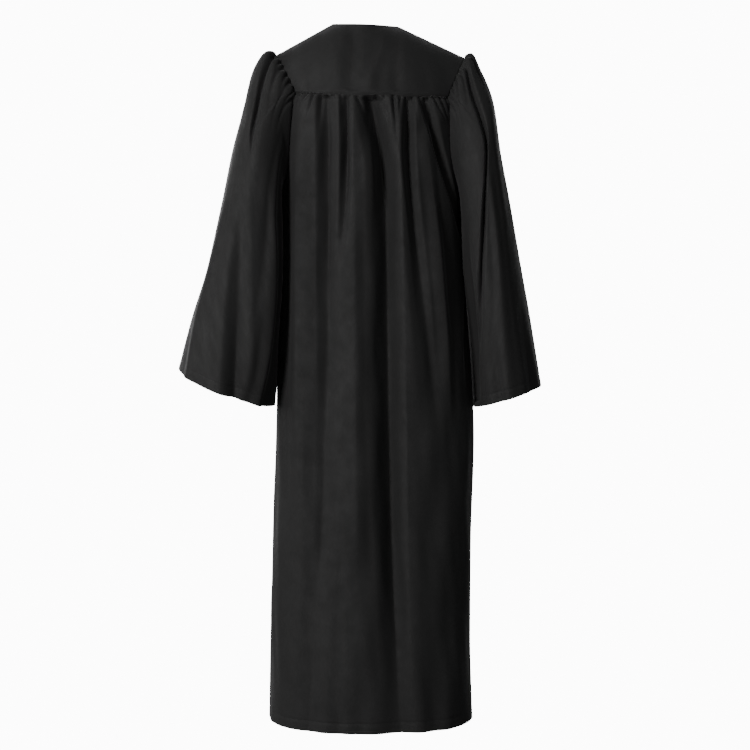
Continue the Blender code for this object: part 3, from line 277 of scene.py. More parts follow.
# Slight unevenness of the cloth: wave lengths, rise as a share of them, and the lowest and
# highest slant, phase, beat and lag of a wave. Round the sleeves, whole waves and rise.
FULL_TURN = 6.283
UNEVEN_WAVES = (0.110, 0.070, 0.045, 0.030)
UNEVEN_SHARE = 0.011
UNEVEN_RANGE = ((-0.14, 0.0, 0.25, 0.0), (0.14, FULL_TURN, 0.6, FULL_TURN))
UNEVEN_TURNS = ((5, 0.0011), (8, 0.0008), (13, 0.0005))
TURN_RANGE = ((-0.8, 0.0, 0.25, 0.0), (0.8, FULL_TURN, 0.5, FULL_TURN))
SIDE_FADE = 0.03
YOKE_END_FADE = 0.012
PANEL_FADE = 0.05
SLEEVE_FADE = 0.08
SLEEVE_EVEN = 165.0          # the cloth is even from this angle to the inner line
SLEEVE_EVEN_RUN = 30.0
YOKE_UNEVEN = 0.6
SEEDS = {"yoke": 11, "front": 40, "back": 23, "sleeve": 70}

# Dents of the yokes: top and bottom height, x there, half width and depth
BACK_DENTS = scaled((TENTHS,) * 6, (
    (140, -720, 300, 340, 220, 22), (50, -650, -250, -10, 180, -16), (0, -700, -800, -940, 240, 14),
    (0, -700, 860, 980, 220, 12), (200, -600, -520, -480, 160, 10),
))
FRONT_DENTS = scaled((TENTHS,) * 6, (
    (100, -850, 900, 1000, 240, 16), (100, -850, 520, 480, 160, -10), (100, -850, -840, -960, 240, 16),
    (100, -850, -500, -440, 160, -10),
))
YOKE_LIP = 0.0006            # turned edge of the yoke beside its seam
YOKE_LIP_PLACE = 0.0045

# Stitches: thread thick in the middle and sunk at its ends
STITCH_PITCH = 0.0032
STITCH_LENGTH = 0.0024
THREAD_RADIUS = 0.00021
THREAD_STATIONS = (0.0, 0.18, 0.82, 1.0)
THREAD_GIRTH = (0.5, 1.0, 1.0, 0.5)
THREAD_RISE = (0.9, 2.1, 2.1, 0.9)
YOKE_STITCH = 0.0050
YOKE_STITCH_STOP = 0.95
NECK_STITCH = 0.0060
ZIP_STITCH = 0.0075
ZIP_STITCH_TAIL = 0.02

# Zip
TAPE_HALF = 0.011
TAPE_GAP = 0.0003
TAPE_SET_BACK = 0.0020
TAPE_WALL = 0.0008
TAPE_SPAN = (V_BOTTOM_Z - 0.001, ZIP_END_Z - 0.012)
TAPE_ROWS = 150
TAPE_COLUMNS = 7
ZIP_STEP = 0.002             # rise over which the zip's slope is read
COIL_PITCH = 0.00125
COIL_RADIUS = 0.00034
COIL_SLANT = 0.00018
COIL_SPAN = (V_BOTTOM_Z - 0.003, ZIP_END_Z - 0.006)
COIL_PATH = (
    (0.0024, 0.0004), (0.0022, 0.0012), (0.0012, 0.0017), (0.0000, 0.0017), (-0.0007, 0.0012),
    (-0.0008, 0.0006),
)
COIL_CORNERS = (0.785, 2.356, 3.927, 5.498)
METAL_ROUND = 0.00022
METAL_FLAT = 2.0             # degrees between faces that count as one
METAL_EDGE = 28.0            # degrees from which an edge is rounded over
METAL_SHARP = 50.0

# Looks: dark and pale tone of each
WAVE_PERIOD = 0.314          # scale of a wave texture times the length of one wave
THREAD_PITCH = 0.0005
TWILL_PITCH = 0.0009
CLOTH_TONES = ((0.0088, 0.0087, 0.0087), (0.0131, 0.0129, 0.0129))
THREAD_TONES = ((0.007, 0.007, 0.0075), (0.014, 0.014, 0.015))
TAPE_TONES = ((0.008, 0.008, 0.009), (0.018, 0.018, 0.019))
COIL_TONES = ((0.006, 0.006, 0.0065), (0.013, 0.013, 0.014))
METAL_TONES = ((0.022, 0.022, 0.024), (0.040, 0.040, 0.043))

# Studio: lights with their places, sizes and powers
AMBIENT = 0.10
WHITE_STRENGTH = 12.0
BACKDROP_RADIUS = 14.0
FLOOR_HALF = 0.6 * BACKDROP_RADIUS
FLOOR_Z = -1.42
LIGHT_TARGET = (0.0, 0.0, -0.62)
LIGHTS = (
    ("key_left", (2.1, 2.7, 0.5), (0.9, 2.0), 118.0),
    ("fill_right", (-1.5, 3.3, 0.2), (1.8, 2.2), 20.0),
    ("side_left", (3.3, 0.7, 0.4), (0.9, 2.0), 34.0),
    ("front_left", (1.8, -2.8, 0.6), (1.4, 2.2), 60.0),
    ("front_right", (-1.5, -2.9, 0.4), (1.2, 2.2), 22.0),
)


def smooth(value):
    """Rise from 0 to 1 with flat ends."""
    part = np.clip(value, 0.0, 1.0)
    return part * part * (3.0 - 2.0 * part)


def monotone(knots, values, place):
    """Read a table between its rows along a smooth curve that never overshoots."""
    knots = np.asarray(knots, float)
    values = np.asarray(values, float)
    place = np.clip(np.asarray(place, float), knots[0], knots[-1])
    width = np.diff(knots)
    slope = np.diff(values) / width
    before = np.concatenate((slope[:1], slope))
    after = np.concatenate((slope, slope[-1:]))
    product = before * after
    total = np.where(product > 0.0, before + after, 1.0)
    turn = np.where(product > 0.0, 2.0 * product / total, 0.0)
    turn[0], turn[-1] = slope[0], slope[-1]
    k = np.clip(np.searchsorted(knots, place, side="right") - 1, 0, len(slope) - 1)
    t = (place - knots[k]) / width[k]
    start = values[k] + t * t * (3.0 - 2.0 * t) * (values[k + 1] - values[k])
    return start + width[k] * (t * (1.0 - t) ** 2 * turn[k] - t * t * (1.0 - t) * turn[k + 1])


class Table:
    """A short table with named columns, read smoothly along its first column."""

    def __init__(self, names, rows):
        order = sorted(rows)
        self.columns = {name: [row[k] for row in order] for k, name in enumerate(names)}
        self.knots = self.columns[names[0]]

    def read(self, name, place):
        return monotone(self.knots, self.columns[name], place)

    def either(self, sign, first, second, place):
        """Read the first column where the sign is above zero, and the second elsewhere."""
        return np.where(sign > 0.0, self.read(first, place), self.read(second, place))


BODY = Table(BODY_COLUMNS, BODY_SECTIONS)


def cos_of(angle):
    return np.cos(np.radians(angle))


def sin_of(angle):
    return np.sin(np.radians(angle))


def unit(vectors):
    return vectors / np.maximum(np.linalg.norm(vectors, axis=-1, keepdims=True), 1e-12)


def body_point(angle, height):
    """Points on the body's sections: 0 degrees is the left side, 90 the back middle."""
    angle, height = np.broadcast_arrays(np.asarray(angle, float), np.asarray(height, float))
    c, s = cos_of(angle), sin_of(angle)
    power = 2.0 / BODY_ROUNDNESS
    x = np.sign(c) * np.abs(c) ** power * BODY.either(c, "left", "right", height)
    y = np.sign(s) * np.abs(s) ** power * BODY.either(s, "back", "front", height)
    return np.stack((x, y, height), axis=-1)


def body_angle(x, height, front=False):
    """Angle at which the section at this height has this x, on the back or the front."""
    x, height = np.broadcast_arrays(np.asarray(x, float), np.asarray(height, float))
    side = BODY.either(x, "left", "right", height)
    share = np.minimum(np.abs(x) / side, 0.999) ** (BODY_ROUNDNESS / 2.0)
    angle = np.degrees(np.arccos(np.sign(x) * share))
    return -angle if front else angle


def body_normal(angle, height):
    """Level outward direction of the body's section."""
    ahead = body_point(angle + 0.5, height) - body_point(angle - 0.5, height)
    return unit(np.stack((ahead[..., 1], -ahead[..., 0], 0.0 * ahead[..., 0]), axis=-1))


def bell(distance, left, right):
    """Soft trough across a fold, wide or narrow on either side of its middle line."""
    reach = np.where(distance > 0.0, left, right)
    far = np.clip(np.abs(distance) / reach, 0.0, 1.0)
    return BELL_ROUND * (1.0 - smooth(far)) + (1.0 - BELL_ROUND) * (1.0 - far) ** BELL_POINT


def trough(line, angle, section, left, right):
    """Trough along a line on an oval section that has these two half widths."""
    spread = np.hypot(section[0] * sin_of(line), section[1] * cos_of(line))
    return bell(np.radians(line - angle) * spread, left, right)


def folded(folds, place, angle, line_of, section):
    """Inward shift of the cloth from all the folds of a table."""
    total = 0.0 * place
    for fold in folds:
        share = (place - fold[0]) / (fold[1] - fold[0])
        inside = (share >= 0.0) & (share <= 1.0)
        share = np.clip(share, 0.0, 1.0)
        deep = monotone(KNOTS, fold[8:12], share) * inside
        line = line_of(monotone(KNOTS, fold[2:6], share))
        total += deep * trough(line, angle, section, fold[6], fold[7])
    return total


def gathered(puckers, place, angle, line_of, section, rise, fade):
    """Inward shift of the cloth from the short sharp folds that run out from a seam."""
    total = 0.0 * place
    for start, end, run, deep, half in puckers:
        share = np.clip(place / run, 0.0, 1.0)
        deep = deep * smooth(place / rise) * (1.0 - share) ** fade
        total += deep * trough(line_of(start, end, share), angle, section, half, half)
    return total


def body_cloth(angle, height, below_seam, front):
    """Points of the folded body cloth."""
    folds, puckers = (FRONT_FOLDS, FRONT_PUCKERS) if front else (BACK_FOLDS, BACK_PUCKERS)
    section = BODY.read("left", height), BODY.read("back", height)
    turned = np.abs(angle)
    long_folds = folded(folds, height, turned, lambda x: body_angle(x, height), section)
    gathers = gathered(puckers, below_seam, turned,
                       lambda start, end, share: body_angle(start + (end - start) * share, height),
                       section, PUCKER_RISE, PUCKER_FADE)
    puff = smooth(below_seam / PUFF_RISE) * (1.0 - smooth((below_seam - PUFF_RISE) / PUFF_RUN))
    shift = long_folds * smooth(below_seam / FOLD_RISE) + gathers - PUFF * puff
    quiet = smooth(np.abs(sin_of(angle)) / SIDE_CALM)
    return body_point(angle, height) - body_normal(angle, height) * (shift * quiet)[..., None]


def armhole_edge(side, front, step):
    """Angle and height of the armhole's edge on the body."""
    table = Table(ARMHOLE_COLUMNS, ARMHOLE_FRONT if front else ARMHOLE_BACK[side])
    angle = table.read("angle", step)
    if side < 0:
        angle = 180.0 - angle
    return (-angle if front else angle), table.read("height", step)


def yoke_seam_height(share):
    """Height of the back yoke seam from the left armhole, 0, to the right one, 1."""
    slope = YOKE_SEAM_LEFT_Z + (YOKE_SEAM_RIGHT_Z - YOKE_SEAM_LEFT_Z) * share
    wobble = SEAM_WOBBLE * np.sin(share * SEAM_WAVES[0]) * np.sin(share * SEAM_WAVES[1] + SEAM_PHASE)
    return slope + (wobble - YOKE_SEAM_SAG) * np.sin(np.pi * share)


def quarter_turn(step, roundness):
    """Shares of the way down, back and down a yoke that leaves the shoulder level."""
    turn = 0.5 * np.pi * step
    back = roundness * np.sin(turn) + (1.0 - roundness) * step
    down = roundness * (1.0 - np.cos(turn)) + (1.0 - roundness) * step
    return np.stack((down, back, down), axis=-1)


def between(start, end, share):
    share = np.asarray(share, float)[..., None]
    return np.asarray(start) * (1.0 - share) + np.asarray(end) * share


def eased(grid, rounds):
    """Smooth the points inside a grid and leave its edges where they are."""
    for _ in range(rounds):
        middle = 0.25 * (grid[:-2, 1:-1] + grid[2:, 1:-1] + grid[1:-1, :-2] + grid[1:-1, 2:])
        grid[1:-1, 1:-1] = 0.5 * grid[1:-1, 1:-1] + 0.5 * middle
    return grid


def back_yoke_points():
    """Back yoke: its columns run from the left armhole to the right one."""
    share = np.linspace(0.0, 1.0, BACK_COLUMNS + 1)
    place = share * YOKE_SPAN
    left = between(SHOULDER[LEFT], NECK[LEFT], np.clip(place / NECK_START, 0.0, 1.0))
    right = between(NECK[RIGHT], SHOULDER[RIGHT], np.clip((place - NECK_STOP) / NECK_START, 0.0, 1.0))
    along = np.clip((place - NECK_START) / (NECK_STOP - NECK_START), 0.0, 1.0)
    bow = np.sin(np.pi * along) ** NECK_BOW
    neck = between(NECK[LEFT], NECK[RIGHT], along)
    neck[:, 1] += NECK_BACK_Y * bow
    neck[:, 2] += (NECK_BACK_Z - 0.5 * (NECK[LEFT][2] + NECK[RIGHT][2])) * bow
    place = place[:, None]
    top = np.where(place <= NECK_START, left, np.where(place < NECK_STOP, neck, right))
    left_angle, _ = armhole_edge(LEFT, False, 0.0)
    right_angle, _ = armhole_edge(RIGHT, False, 0.0)
    bottom = body_point(left_angle + (right_angle - left_angle) * share, yoke_seam_height(share))
    roundness = 1.0 - NECK_FULLNESS * np.maximum(top[:, 1], 0.0) / NECK_BACK_Y
    step = np.linspace(0.0, 1.0, YOKE_ROWS + 1)[:, None]
    return eased(top + (bottom - top) * quarter_turn(step, roundness), BACK_YOKE_EASING)


def slot_x(height):
    """Half width of the slot between the fronts."""
    return SLOT_HALF * smooth((height - ZIP_END_Z + ZIP_FADE) / ZIP_FADE)


def front_seam_angle(side, share):
    """Angle of the front yoke seam from the armhole, 0, to the middle, 1."""
    start, height = armhole_edge(side, True, 0.0)
    end = body_angle(side * SLOT_HALF, height, True)
    return start + (end - start) * share


def neck_front_points(side, step):
    """Front edge of a front yoke: down the V, then beside the zip."""
    valley = np.array((side * SLOT_HALF, -float(BODY.read("front", V_BOTTOM_Z)), V_BOTTOM_Z))
    end = body_point(front_seam_angle(side, 1.0), FRONT_SEAM_Z)
    turn = quarter_turn(np.clip(step / V_SHARE, 0.0, 1.0), NECK_FRONT_ROUND)
    slanted = NECK[side] + (valley - NECK[side]) * turn
    straight = between(valley, end, np.clip((step - V_SHARE) / (1.0 - V_SHARE), 0.0, 1.0))
    return np.where((step > V_SHARE)[:, None], straight, slanted)


def front_yoke_points(side):
    """Front yoke: columns from the armhole to the neck, blended from its four edges."""
    shoulder, neck = np.array(SHOULDER[side]), np.array(NECK[side])
    corner = body_point(*armhole_edge(side, True, 0.0))
    v = np.linspace(0.0, 1.0, YOKE_ROWS + 1)
    u = np.linspace(0.0, 1.0, FRONT_COLUMNS + 1)
    armhole = shoulder + (corner - shoulder) * quarter_turn(v, 1.0)
    centre = neck_front_points(side, v)
    top = between(shoulder, neck, u)
    bottom = body_point(front_seam_angle(side, u), FRONT_SEAM_Z)
    ends = quarter_turn(v[:, None], 1.0 - NECK_FLATTENING * u)
    u = u[:, None]
    across = armhole[:, None] + (centre - armhole)[:, None] * u
    first_run = shoulder + (corner - shoulder) * ends
    last_run = neck + (centre[-1] - neck) * ends
    linear = first_run * (1.0 - u) + last_run * u
    return eased(across + top + (bottom - top) * ends - linear, FRONT_YOKE_EASING)


def panel_points(side, front):
    """Body panel from its yoke seam to the hem: the whole back, or one side's front."""
    columns, drop = (FRONT_COLUMNS, FRONT_DROP) if front else (BACK_COLUMNS, BACK_DROP)
    row = np.arange(ARMHOLE_ROWS + SKIRT_ROWS + 1)
    upper = row <= ARMHOLE_ROWS
    step = np.clip(row / ARMHOLE_ROWS, 0.0, 1.0) ** ARMHOLE_CROWDING
    run = np.interp(row - ARMHOLE_ROWS, (0, SKIRT_ROWS - HEM_ROWS, SKIRT_ROWS), (0.0, HEM_SHARE, 1.0))
    side_z = UNDERARM_Z + (HEM_SIDE_Z - UNDERARM_Z) * run
    first_angle, first_z = armhole_edge(side, front, step)
    first_angle = np.where(upper, first_angle, 0.0 if side > 0 else -180.0)
    first_z = np.where(upper, first_z, side_z)
    if front:
        middle = np.where(upper, FRONT_SEAM_Z + (UNDERARM_Z - drop - FRONT_SEAM_Z) * step,
                          side_z - drop * (1.0 - run) - HEM_BOW * run)
        last_angle = body_angle(side * np.maximum(slot_x(middle), 1e-9), middle, True)
        last_z = np.where(upper, middle, side_z)
    else:
        last_angle, last_z = armhole_edge(RIGHT, False, step)
        last_angle = np.where(upper, last_angle, 180.0)
        last_z = np.where(upper, last_z, side_z)
    share = np.linspace(0.0, 1.0, columns + 1)[None, :]
    ends = (1.0 - share) ** 3 if front else np.abs(2.0 * share - 1.0) ** 3
    angle = first_angle[:, None] + (last_angle - first_angle)[:, None] * share
    height = first_z[:, None] + (last_z - first_z)[:, None] * share
    seam = FRONT_SEAM_Z + 0.0 * share if front else yoke_seam_height(share)
    plain = seam + (UNDERARM_Z - drop - seam) * step[:, None]
    above = plain + (height - plain) * ends
    above[0] = seam[0]
    below = height - (drop * (1.0 - run) + HEM_BOW * run)[:, None] * (1.0 - ends)
    height = np.where(upper[:, None], above, below)
    return body_cloth(angle, height, seam - height, front)


def ring_points(rings, side, step, angle):
    """Points on a sleeve's slanted sections: 0 degrees outer, 90 back, 180 inner."""
    zero = 0.0 * step
    outer, inner = (np.stack((side * rings.read(way + "_x", step), zero,
                              rings.read(way + "_z", step)), axis=-1) for way in ("out", "in"))
    middle = 0.5 * (outer + inner)
    middle[..., 1] = rings.read("mid_y", step)
    s = sin_of(angle)
    depth = rings.either(s, "back", "front", step)
    fall = -rings.read("sag", step) * np.abs(s)
    reach = (outer - inner) * 0.5 * cos_of(angle)[..., None]
    return middle + reach + np.stack((zero, depth * s, fall), axis=-1)


def clear_of_body(points, side, clear):
    """Move sleeve points out along X until they clear the body's section."""
    x, y, z = points[..., 0], points[..., 1], points[..., 2]
    depth = BODY.either(y, "back", "front", z) + clear
    reach = BODY.either(side, "left", "right", z) + clear
    inside = np.clip(1.0 - (np.abs(y) / depth) ** BODY_ROUNDNESS, 0.0, 1.0)
    edge = reach * inside ** (1.0 / BODY_ROUNDNESS)
    hit = (z <= FRONT_SEAM_Z) & (np.abs(y) < depth)
    moved = points.copy()
    moved[..., 0] = np.where(hit, side * np.maximum(np.abs(x), edge), x)
    return moved


def sleeve_out(rings, side, step, angle):
    """Outward directions of the sleeve's sections in their own slanted planes."""
    ahead, behind = (ring_points(rings, side, step, angle + turn) for turn in (1.0, -1.0))
    ends = (ring_points(rings, side, step, 0.0 * angle + turn) for turn in (0.0, 180.0))
    along = unit(ahead - behind)
    out = ring_points(rings, side, step, angle) - 0.5 * sum(ends)
    return unit(out - along * np.sum(out * along, axis=-1, keepdims=True))


def sleeve_relief(side, rings, step, angle):
    """Inward shifts of the sleeve cloth: of its long folds, and of its gathers and puff."""
    turned = (angle + 180.0) % 360.0 - 180.0
    calm = 1.0 - smooth((np.abs(turned) - SLEEVE_CALM[0]) / (SLEEVE_CALM[1] - SLEEVE_CALM[0]))
    wide = np.hypot(rings.read("out_x", step) - rings.read("in_x", step),
                    rings.read("out_z", step) - rings.read("in_z", step)) / 2.0
    section = wide, rings.read("back", step)
    folds = folded(SLEEVE_FOLDS[side], step, turned, lambda line: line, section)
    folds = folds * smooth(step / SLEEVE_FOLD_RISE)
    gathers = gathered(SLEEVE_PUCKERS[side], step, turned,
                       lambda start, turn, share: start + turn * share ** HEAD_TURN,
                       section, HEAD_RISE, HEAD_FADE)
    puff = smooth(step / HEAD_RISE) * (1.0 - smooth(step / HEAD_PUFF_RUN))
    return np.where(folds > 0.0, folds, folds * calm), gathers - HEAD_PUFF * puff


def sleeve_points(side, loop, underarm):
    """Sleeve as rings from its armhole to its cuff, and the angle of each point."""
    rings = Table(RING_COLUMNS, RINGS[side])
    lengths = np.linalg.norm(np.roll(loop, -1, axis=0) - loop, axis=1)
    reached = np.concatenate(((0.0,), np.cumsum(lengths)))
    half = reached[underarm]
    angle = np.where(np.arange(len(loop)) <= underarm, 180.0 * reached[:-1] / half,
                     180.0 + 180.0 * (reached[:-1] - half) / (reached[-1] - half))
    above = CUFF_SHARE * np.linspace(0.0, 1.0, SLEEVE_ROWS - CUFF_ROWS + 1) ** SLEEVE_CROWDING
    rows = np.concatenate((above, np.linspace(CUFF_SHARE, 1.0, CUFF_ROWS + 1)[1:]))
    step, angle = np.meshgrid(rows, angle, indexing="ij")
    hold = 1.0 - smooth(step / SLEEVE_HEAD_RUN)
    start = ring_points(rings, side, 0.0 * step, angle)
    points = ring_points(rings, side, step, angle) + (loop[None] - start) * hold[..., None]
    folds, gathers = sleeve_relief(side, rings, step, angle)
    points = points - sleeve_out(rings, side, step, angle) * folds[..., None]
    out = softened_grid(grid_normals(points, True, -side), HEAD_SOFTENING)
    points = points - unit(out) * gathers[..., None]
    moved = clear_of_body(points, side, SLEEVE_CLEAR * smooth(step / SLEEVE_CLEAR_RUN))
    moved[0] = loop
    return moved, angle


def grid_normals(points, closed, outward):
    """Unit normals of a grid of points."""
    if closed:
        across = np.roll(points, -1, axis=1) - np.roll(points, 1, axis=1)
    else:
        across = np.gradient(points, axis=1)
    down = np.gradient(points, axis=0)
    return unit(np.cross(across, down) * outward)


def softened_grid(grid, rounds):
    """Average a closed grid of directions with its neighbours."""
    for _ in range(rounds):
        grid = 0.5 * grid + 0.25 * (np.roll(grid, 1, axis=1) + np.roll(grid, -1, axis=1))
        grid[1:-1] = 0.5 * grid[1:-1] + 0.25 * (grid[:-2] + grid[2:])
    return grid


def flat_places(points, closed):
    """Distances along the cloth, across from its middle column and down from its top row."""
    across = np.linalg.norm(np.diff(points, axis=1, append=points[:, :1]), axis=2)
    u = np.concatenate((0.0 * across[:, :1], np.cumsum(across, axis=1)[:, :-1]), axis=1)
    round_all = u[:, -1:] + across[:, -1:]
    from_edge = np.minimum(u, (round_all if closed else u[:, -1:]) - u)
    u = u - u[:, u.shape[1] // 2][:, None]
    down = np.linalg.norm(np.diff(points, axis=0), axis=2)
    v = np.concatenate((0.0 * down[:1], np.cumsum(down, axis=0)))
    return u, v, from_edge, v[-1:] - v


def unevenness(u, v, seed):
    """Slight long unevenness of hanging cloth, the same each run."""
    draw = np.random.default_rng(seed)
    total = 0.0 * u
    for wave in UNEVEN_WAVES:
        slant, phase, beat, lag = draw.uniform(*UNEVEN_RANGE)
        across = np.sin((u + slant * v) * FULL_TURN / wave + phase)
        total += wave * across * np.sin(v * FULL_TURN / beat + lag)
    return total * UNEVEN_SHARE


def groove(distance, place, reach):
    return np.exp(-((distance - place) / reach) ** 2)


def read_along(place, run, values):
    """Rows of values read at places along a run."""
    return np.stack([np.interp(place, run, column) for column in values.T], axis=-1)


class Piece:
    """One cut piece: its middle points, normals, flat coordinates and thickness."""

    def __init__(self, name, points, closed, outward):
        self.name, self.points, self.closed, self.outward = name, points, closed, outward
        self.u, self.v, self.from_side, self.from_end = flat_places(points, closed)
        self.normals = grid_normals(points, closed, outward)
        self.thick = np.full(points.shape[:2], FABRIC)

    def move(self, shift):
        """Move the cloth by this much at each point and find its normals again."""
        self.points = self.points + shift
        self.normals = grid_normals(self.points, self.closed, self.outward)

    def push(self, shift):
        """Move the cloth outward."""
        self.move(self.normals * shift[..., None])

    def draw_in(self, towards, distance):
        """Sink the cloth beside a seam towards the inside of the gown."""
        depth = SEAM_GROOVE * (1.0 - smooth(distance / SEAM_GROOVE_RUN))
        self.move(-towards * depth[..., None])

    def tuck(self, towards):
        """Turn the top edge in under the cloth it is sewn to."""
        turned = self.points[0] - towards * TUCK
        self.points = np.concatenate((turned[None], self.points))
        self.normals = np.concatenate((self.normals[:1], self.normals))
        self.thick = np.concatenate((self.thick[:1], self.thick))
        self.u = np.concatenate((self.u[:1], self.u))
        self.v = np.concatenate((self.v[:1] - TUCK, self.v))

    def hem(self):
        """Double the cloth beside the lower edge and draw it in along the stitching."""
        self.push(-HEM_GROOVE * groove(self.from_end, HEM_DEPTH, HEM_GROOVE_RUN))
        inside = 1.0 - smooth((self.from_end - HEM_DEPTH) / HEM_STEP)
        self.thick = self.thick + (HEM_LAYERS - FABRIC) * inside

    def line(self, distance):
        """Points and normals along a line across the piece at this distance down a column."""
        columns = range(self.points.shape[1])
        found, lifted = (np.array([read_along(distance[k], self.v[:, k], grid[:, k]) for k in columns])
                         for grid in (self.points, self.normals))
        return found, unit(lifted)


def shell_faces(rows, columns, closed=False):
    """Faces of a thin shell: its outer and inner layers and the rims between them."""
    count = rows * columns
    wraps = columns if closed else columns - 1
    r, c = np.meshgrid(np.arange(rows - 1), np.arange(wraps), indexing="ij")
    beside = (c + 1) % columns
    corners = (r * columns + c, r * columns + beside, (r + 1) * columns + beside, (r + 1) * columns + c)
    quad = np.stack(corners, axis=-1).reshape(-1, 4)
    faces = [quad, quad[:, ::-1] + count]
    around = np.arange(wraps + 1) % columns
    rims = [around, (rows - 1) * columns + around]
    if not closed:
        rims += [np.arange(rows) * columns, np.arange(rows) * columns + columns - 1]
    for k, rim in enumerate(rims):
        a, b = rim[:-1], rim[1:]
        strip = np.stack((a, a + count, b + count, b), axis=-1)
        faces.append(strip if k in (0, 3) else strip[:, ::-1])
    return np.concatenate(faces)


def shell_object(piece, look):
    """Closed thin shell of a piece, with its flat coordinates kept."""
    outer = piece.points + piece.normals * FABRIC / 2.0
    inner = piece.points - piece.normals * (piece.thick - FABRIC / 2.0)[..., None]
    verts = np.concatenate((outer.reshape(-1, 3), inner.reshape(-1, 3)))
    faces = shell_faces(*piece.points.shape[:2], piece.closed)
    corner, beside, opposite = (verts[k] for k in faces[0][:3])
    if np.dot(np.cross(beside - corner, opposite - corner), piece.normals[0, 0]) < 0.0:
        faces = faces[:, ::-1]
    flat = np.stack((piece.u, piece.v, 0.0 * piece.u), axis=-1).reshape(-1, 3)
    return mesh_object(piece.name + "_cloth", verts, faces, look, np.concatenate((flat, flat)))


def placed(name, data):
    """Object with this data, in the scene."""
    made = bpy.data.objects.new(name, data)
    bpy.context.scene.collection.objects.link(made)
    return made


def mesh_object(name, verts, faces, look, flat=None, sharp=60.0):
    """Smooth mesh with sharp edges from an angle on, and the flat places of its cloth."""
    mesh = bpy.data.meshes.new(name)
    mesh.from_pydata(verts.tolist(), [], faces.tolist())
    if flat is not None:
        layer = mesh.attributes.new("cloth_place", "FLOAT_VECTOR", "POINT")
        layer.data.foreach_set("vector", flat.astype(np.float32).ravel())
    mesh.shade_smooth()
    mesh.set_sharp_from_angle(angle=math.radians(sharp))
    mesh.materials.append(look)
    return placed(name, mesh)


def tube_faces(stations, starts):
    """Faces of closed four-sided tubes, numbered station by station from their starts."""
    quads = []
    for station in range(stations - 1):
        for k in range(4):
            a, b = 4 * station + k, 4 * station + (k + 1) % 4
            quads.append((a, a + 4, b + 4, b))
    last = 4 * (stations - 1)
    quads += [(0, 1, 2, 3), (last + 3, last + 2, last + 1, last)]
    return [starts[:, None] + np.array(quad)[None] for quad in quads]


def sewn(name, runs, look):
    """Rows of stitches: short thick threads that dip into the cloth at both ends."""
    parts, faces, count = [], [], 0
    girth = THREAD_RADIUS * np.array(THREAD_GIRTH)[None, :, None]
    rise = THREAD_RADIUS * np.array(THREAD_RISE)[None, :, None]
    for points, lifted in runs:
        reached = np.concatenate(((0.0,), np.cumsum(np.linalg.norm(np.diff(points, axis=0), axis=1))))
        starts = np.arange(0.5 * (STITCH_PITCH - STITCH_LENGTH), reached[-1] - STITCH_LENGTH, STITCH_PITCH)
        stations = starts[:, None] + STITCH_LENGTH * np.array(THREAD_STATIONS)[None, :]
        place = read_along(stations, reached, points)
        out = unit(read_along(stations, reached, lifted))
        beside = np.cross(out, unit(place[:, -1:] - place[:, :1]))
        centre = place + out * rise
        sections = np.stack((centre + out * girth, centre + beside * girth,
                             centre - out * girth, centre - beside * girth), axis=2)
        parts.append(sections.reshape(-1, 3))
        faces += tube_faces(4, count + 16 * np.arange(len(starts)))
        count += 16 * len(starts)
    made = mesh_object(name, np.concatenate(parts), np.concatenate(faces), look, sharp=80.0)
    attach(made, "gown")
    return made


class Look:
    """A material whose nodes are added one call at a time and joined by their sockets."""

    def __init__(self, name):
        self.material = bpy.data.materials.new(name)
        self.material.use_nodes = True
        self.nodes = self.material.node_tree.nodes
        self.join = self.material.node_tree.links.new
        self.shader = self.nodes["Principled BSDF"].inputs

    def sockets(self, **values):
        for name, value in values.items():
            self.shader[name.replace("_", " ")].default_value = value

    def node(self, kind, **values):
        made = self.nodes.new("ShaderNode" + kind)
        for name, value in values.items():
            if name in made.inputs:
                made.inputs[name].default_value = value
            else:
                setattr(made, name, value)
        return made

    def noise(self, place, scale, detail=3.0, roughness=0.5):
        made = self.node("TexNoise", Scale=scale, Detail=detail, Roughness=roughness)
        self.join(place, made.inputs["Vector"])
        return made.outputs["Fac"]

    def spread(self, source, low, high, socket):
        """Send a pattern to one of the shader's sockets, between two values."""
        made = self.node("MapRange")
        for name, value in (("From Min", 0.25), ("From Max", 0.75), ("To Min", low), ("To Max", high)):
            made.inputs[name].default_value = value
        self.join(source, made.inputs["Value"])
        self.join(made.outputs["Result"], self.shader[socket])

    def tone(self, source, tones):
        """Colour the shader between a dark and a pale tone after a pattern."""
        made = self.node("ValToRGB")
        for element, place, tone in zip(made.color_ramp.elements, (0.28, 0.72), tones):
            element.position = place
            element.color = (*tone, 1.0)
        self.join(source, made.inputs["Fac"])
        self.join(made.outputs["Color"], self.shader["Base Color"])

    def threads(self, place, pitch):
        """Plain weave: two sets of threads that cross over and under each other."""
        bands = []
        for direction in ("X", "Y"):
            band = self.node("TexWave", wave_type="BANDS", bands_direction=direction,
                             Scale=WAVE_PERIOD / pitch, Distortion=0.6, Detail=1.0)
            band.inputs["Detail Scale"].default_value = 6.0
            self.join(place, band.inputs["Vector"])
            bands.append(band.outputs["Fac"])
        both = self.node("Math", operation="MAXIMUM")
        for band, socket in zip(bands, both.inputs):
            self.join(band, socket)
        return both.outputs["Value"]

    def bump(self, source, strength, distance, after=None):
        made = self.node("Bump", Strength=strength, Distance=distance)
        self.join(source, made.inputs["Height"])
        if after is not None:
            self.join(after, made.inputs["Normal"])
        self.join(made.outputs["Normal"], self.shader["Normal"])
        return made.outputs["Normal"]


